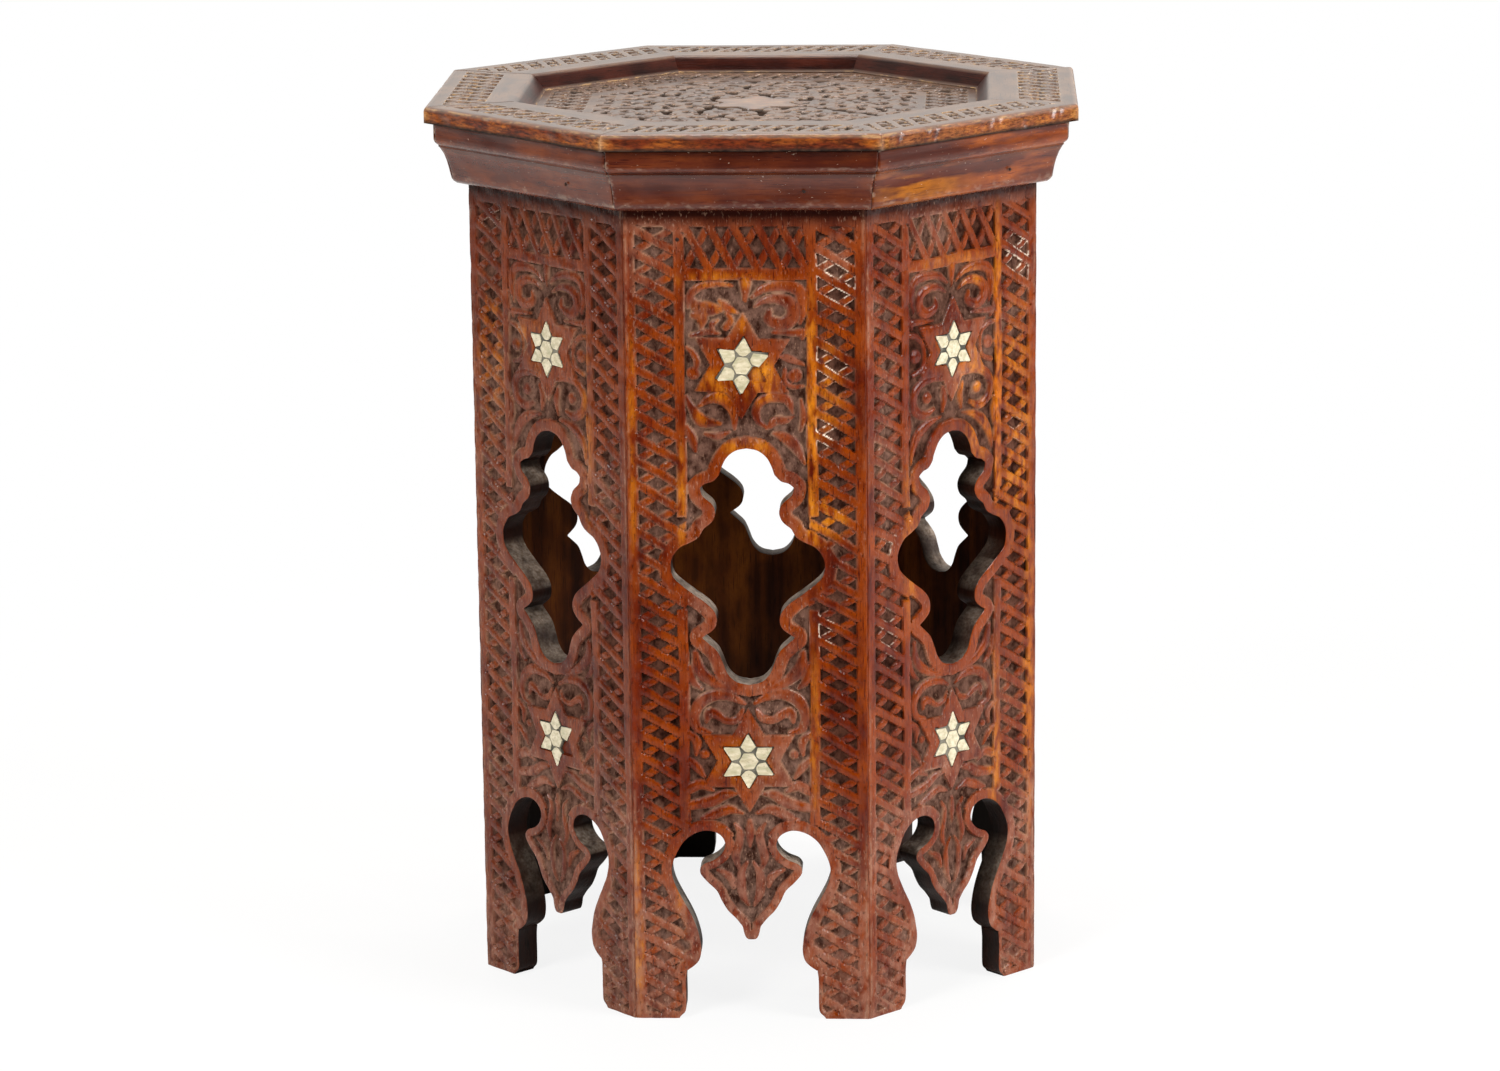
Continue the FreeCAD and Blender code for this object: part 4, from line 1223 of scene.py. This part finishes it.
def inlay(pattern):
    """Two stars of shell set in mastic, with the small misfits of hand-cut pieces."""
    side = pattern.side
    number = SIDES.index(side)
    rng = np.random.default_rng(number + 500)
    shells, beds = [], []
    for name, height in STAR_HEIGHTS.items():
        centre = (pattern.star_across[name], height)
        turn = pattern.star_turn[name]
        lost = LOST_INLAY.get((side, name))

        def at(reach, angle, centre=centre, turn=turn):
            heading = math.radians(90 - angle - turn)
            return centre[0] + reach * math.cos(heading), centre[1] + reach * math.sin(heading)

        shells.append([at(4.9 + rng.uniform(-0.2, 0.1), 30 + 60 * k) for k in range(6)][::-1])
        star = []
        for k in range(6):
            heading = 60 * k
            if k == lost:
                star += [at(5.6, heading - 30), at(5.6, heading + 30)]
                continue
            slip = pattern.slips[name][k]
            tip = 14.2 + rng.uniform(-0.8, 0.4)
            wide = (22.6 if side == "front_right" else 27.4) + rng.uniform(-1.6, 0.4)
            shells.append([at(tip, heading + 1.6 + slip), at(8.5, heading + wide + slip),
                           at(5.5, heading + 17 + slip), at(4.75, heading + slip),
                           at(5.5, heading - 17 + slip), at(8.5, heading - wide + slip),
                           at(tip, heading - 1.6 + slip)][::-1])
            star += [at(8.6, heading - 30), at(SEAT_RADIUS - 0.2, heading)]
            if (k + 1) % 6 == lost:
                star.append(at(8.6, heading + 30))
        beds.append(star[::-1])
    pieces = prism(f"shell_stars_{side}", shells, -1.1, 0.05, pearl, 0.22)
    bed = prism(f"mastic_beds_{side}", beds, -SEAT_DEPTH + 0.02, -0.32, mastic, 0.0)
    for thing, node, slot in ((pieces, f"pearl_inlay_{side}", "mother_of_pearl"),
                              (bed, f"mastic_{side}", "black_mastic")):
        thing.data.transform(side_turn(number))
        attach(thing, "root")
        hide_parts(node)


def pin_head(name, side, across, up, out, radius=0.9):
    """A small domed iron head, sunk a little into the wood."""
    shape = bmesh.new()
    bmesh.ops.create_uvsphere(shape, u_segments=12, v_segments=6, radius=radius)
    for vertex in shape.verts:
        vertex.co.y *= 0.4
    bmesh.ops.translate(shape, verts=shape.verts[:], vec=(across, -out, up))
    bmesh.ops.scale(shape, vec=(MM, MM, MM), verts=shape.verts[:])
    mesh = shaped(name, shape)
    mesh.transform(side_turn(SIDES.index(side)))
    mesh.polygons.foreach_set("use_smooth", np.ones(len(mesh.polygons), bool))
    mesh.materials.append(iron)
    thing = placed(name, mesh)
    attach(thing, "root")


def build_table():
    """Every piece of the table, side by side."""
    for side in SIDES:
        pattern = carved_board(side)
        inlay(pattern)
        cornice(side)
        rim(side)
        pin_head(f"cornice_pin_{side}", side, across=30.0, up=430.0, out=FACE + 10.6)
    carved_top()
    pin_head("stile_nail", "front", across=-33.0, up=404.5, out=FACE - 0.1, radius=1.1)
    for number in range(1, 9):
        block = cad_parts[f"corner_block_{number}"]
        block.data.materials.clear()
        block.data.materials.append(softwood)


def backdrop():
    """Pale floor that keeps a soft shadow and is dim towards the viewer, under a surround that
    is white behind the table and dim in front, so that only the top and sides catch a sheen."""
    shape = bmesh.new()
    bmesh.ops.create_grid(shape, x_segments=8, y_segments=8, size=30.0)
    floor = placed("pale_floor", shaped("pale_floor", shape))
    m = new_material("pale_floor")
    path = add(m, "LightPath")
    place = add(m, "NewGeometry")["Position"]
    away = add(m, "VectorMath", {0: place}, operation="LENGTH")["Value"]
    bright = add(m, "MapRange", {"Value": away, "From Min": 0.3, "From Max": 0.95,
                                 "To Min": 0.87})[0]
    seen = share_of(m, bright, path["Is Camera Ray"])
    towards = add(m, "SeparateXYZ", {"Vector": place})["Y"]
    dim = share_of(m, (towards, -0.35, -0.8), path["Is Glossy Ray"])
    plain = add(m, "BsdfDiffuse", {"Color": layered(m, "#f4f2ef", ("#3a3634", dim))})[0]
    white = add(m, "Emission", {"Color": "#ffffff", "Strength": 1.0})[0]
    add(m, "OutputMaterial", {"Surface": add(m, "MixShader", {0: seen, 1: plain, 2: white})[0]})
    floor.data.materials.append(m)

    world = bpy.data.worlds.new("studio")
    bpy.context.scene.world = world
    world.use_nodes = True
    world.node_tree.nodes.clear()
    heading = add(world, "SeparateXYZ", {"Vector": add(world, "TexCoord")["Generated"]})["Y"]
    level = add(world, "MapRange", {"Value": heading, "From Min": -0.2, "From Max": 0.5,
                                    "To Min": 0.05})[0]
    lit = add(world, "Background", {"Color": "#fffcf6", "Strength": level})[0]
    white = add(world, "Background", {"Color": "#ffffff", "Strength": 1.0})[0]
    seen = add(world, "LightPath")["Is Camera Ray"]
    add(world, "OutputWorld", {"Surface": add(world, "MixShader", {0: seen, 1: lit, 2: white})[0]})


def lamp(name, place, target, size, watts):
    """A square soft light at a place in metres, turned to its target."""
    light = bpy.data.lights.new(name, "AREA")
    light.size = size
    light.energy = watts
    thing = placed(name, light)
    thing.location = place
    thing.rotation_euler = (Vector(target) - Vector(place)).to_track_quat("-Z", "Y").to_euler()


def camera():
    """The photograph's view, a long lens from a little above the top."""
    data = bpy.data.cameras.new("camera")
    data.sensor_width = 36.0
    data.lens = 114.18
    data.clip_start, data.clip_end = 0.1, 100.0
    yaw, pitch, roll = (math.radians(a) for a in (-2.798, -13.419, -0.639))
    level = math.cos(pitch)
    look = Vector((math.sin(yaw) * level, math.cos(yaw) * level, math.sin(pitch)))
    right = look.cross(Vector((0, 0, 1))).normalized()
    over = right.cross(look)
    tilted_right = math.cos(roll) * right + math.sin(roll) * over
    tilted_over = -math.sin(roll) * right + math.cos(roll) * over
    thing = placed("camera", data)
    turn = Matrix((tilted_right, tilted_over, -look)).transposed().to_4x4()
    thing.matrix_world = Matrix.Translation((0.1143, -2.4562, 0.8066)) @ turn
    bpy.context.scene.camera = thing


build_table()
backdrop()
lamp("key", (-1.2, -1.7, 1.8), (0, 0, 0.25), size=0.8, watts=46)
lamp("fill", (1.85, -0.9, 1.1), (0, 0, 0.25), size=1.0, watts=48)
lamp("top", (0.1, 0.6, 2.2), (0, 0, 0.3), size=1.2, watts=18)
camera()
bpy.context.scene.view_settings.view_transform = "Standard"
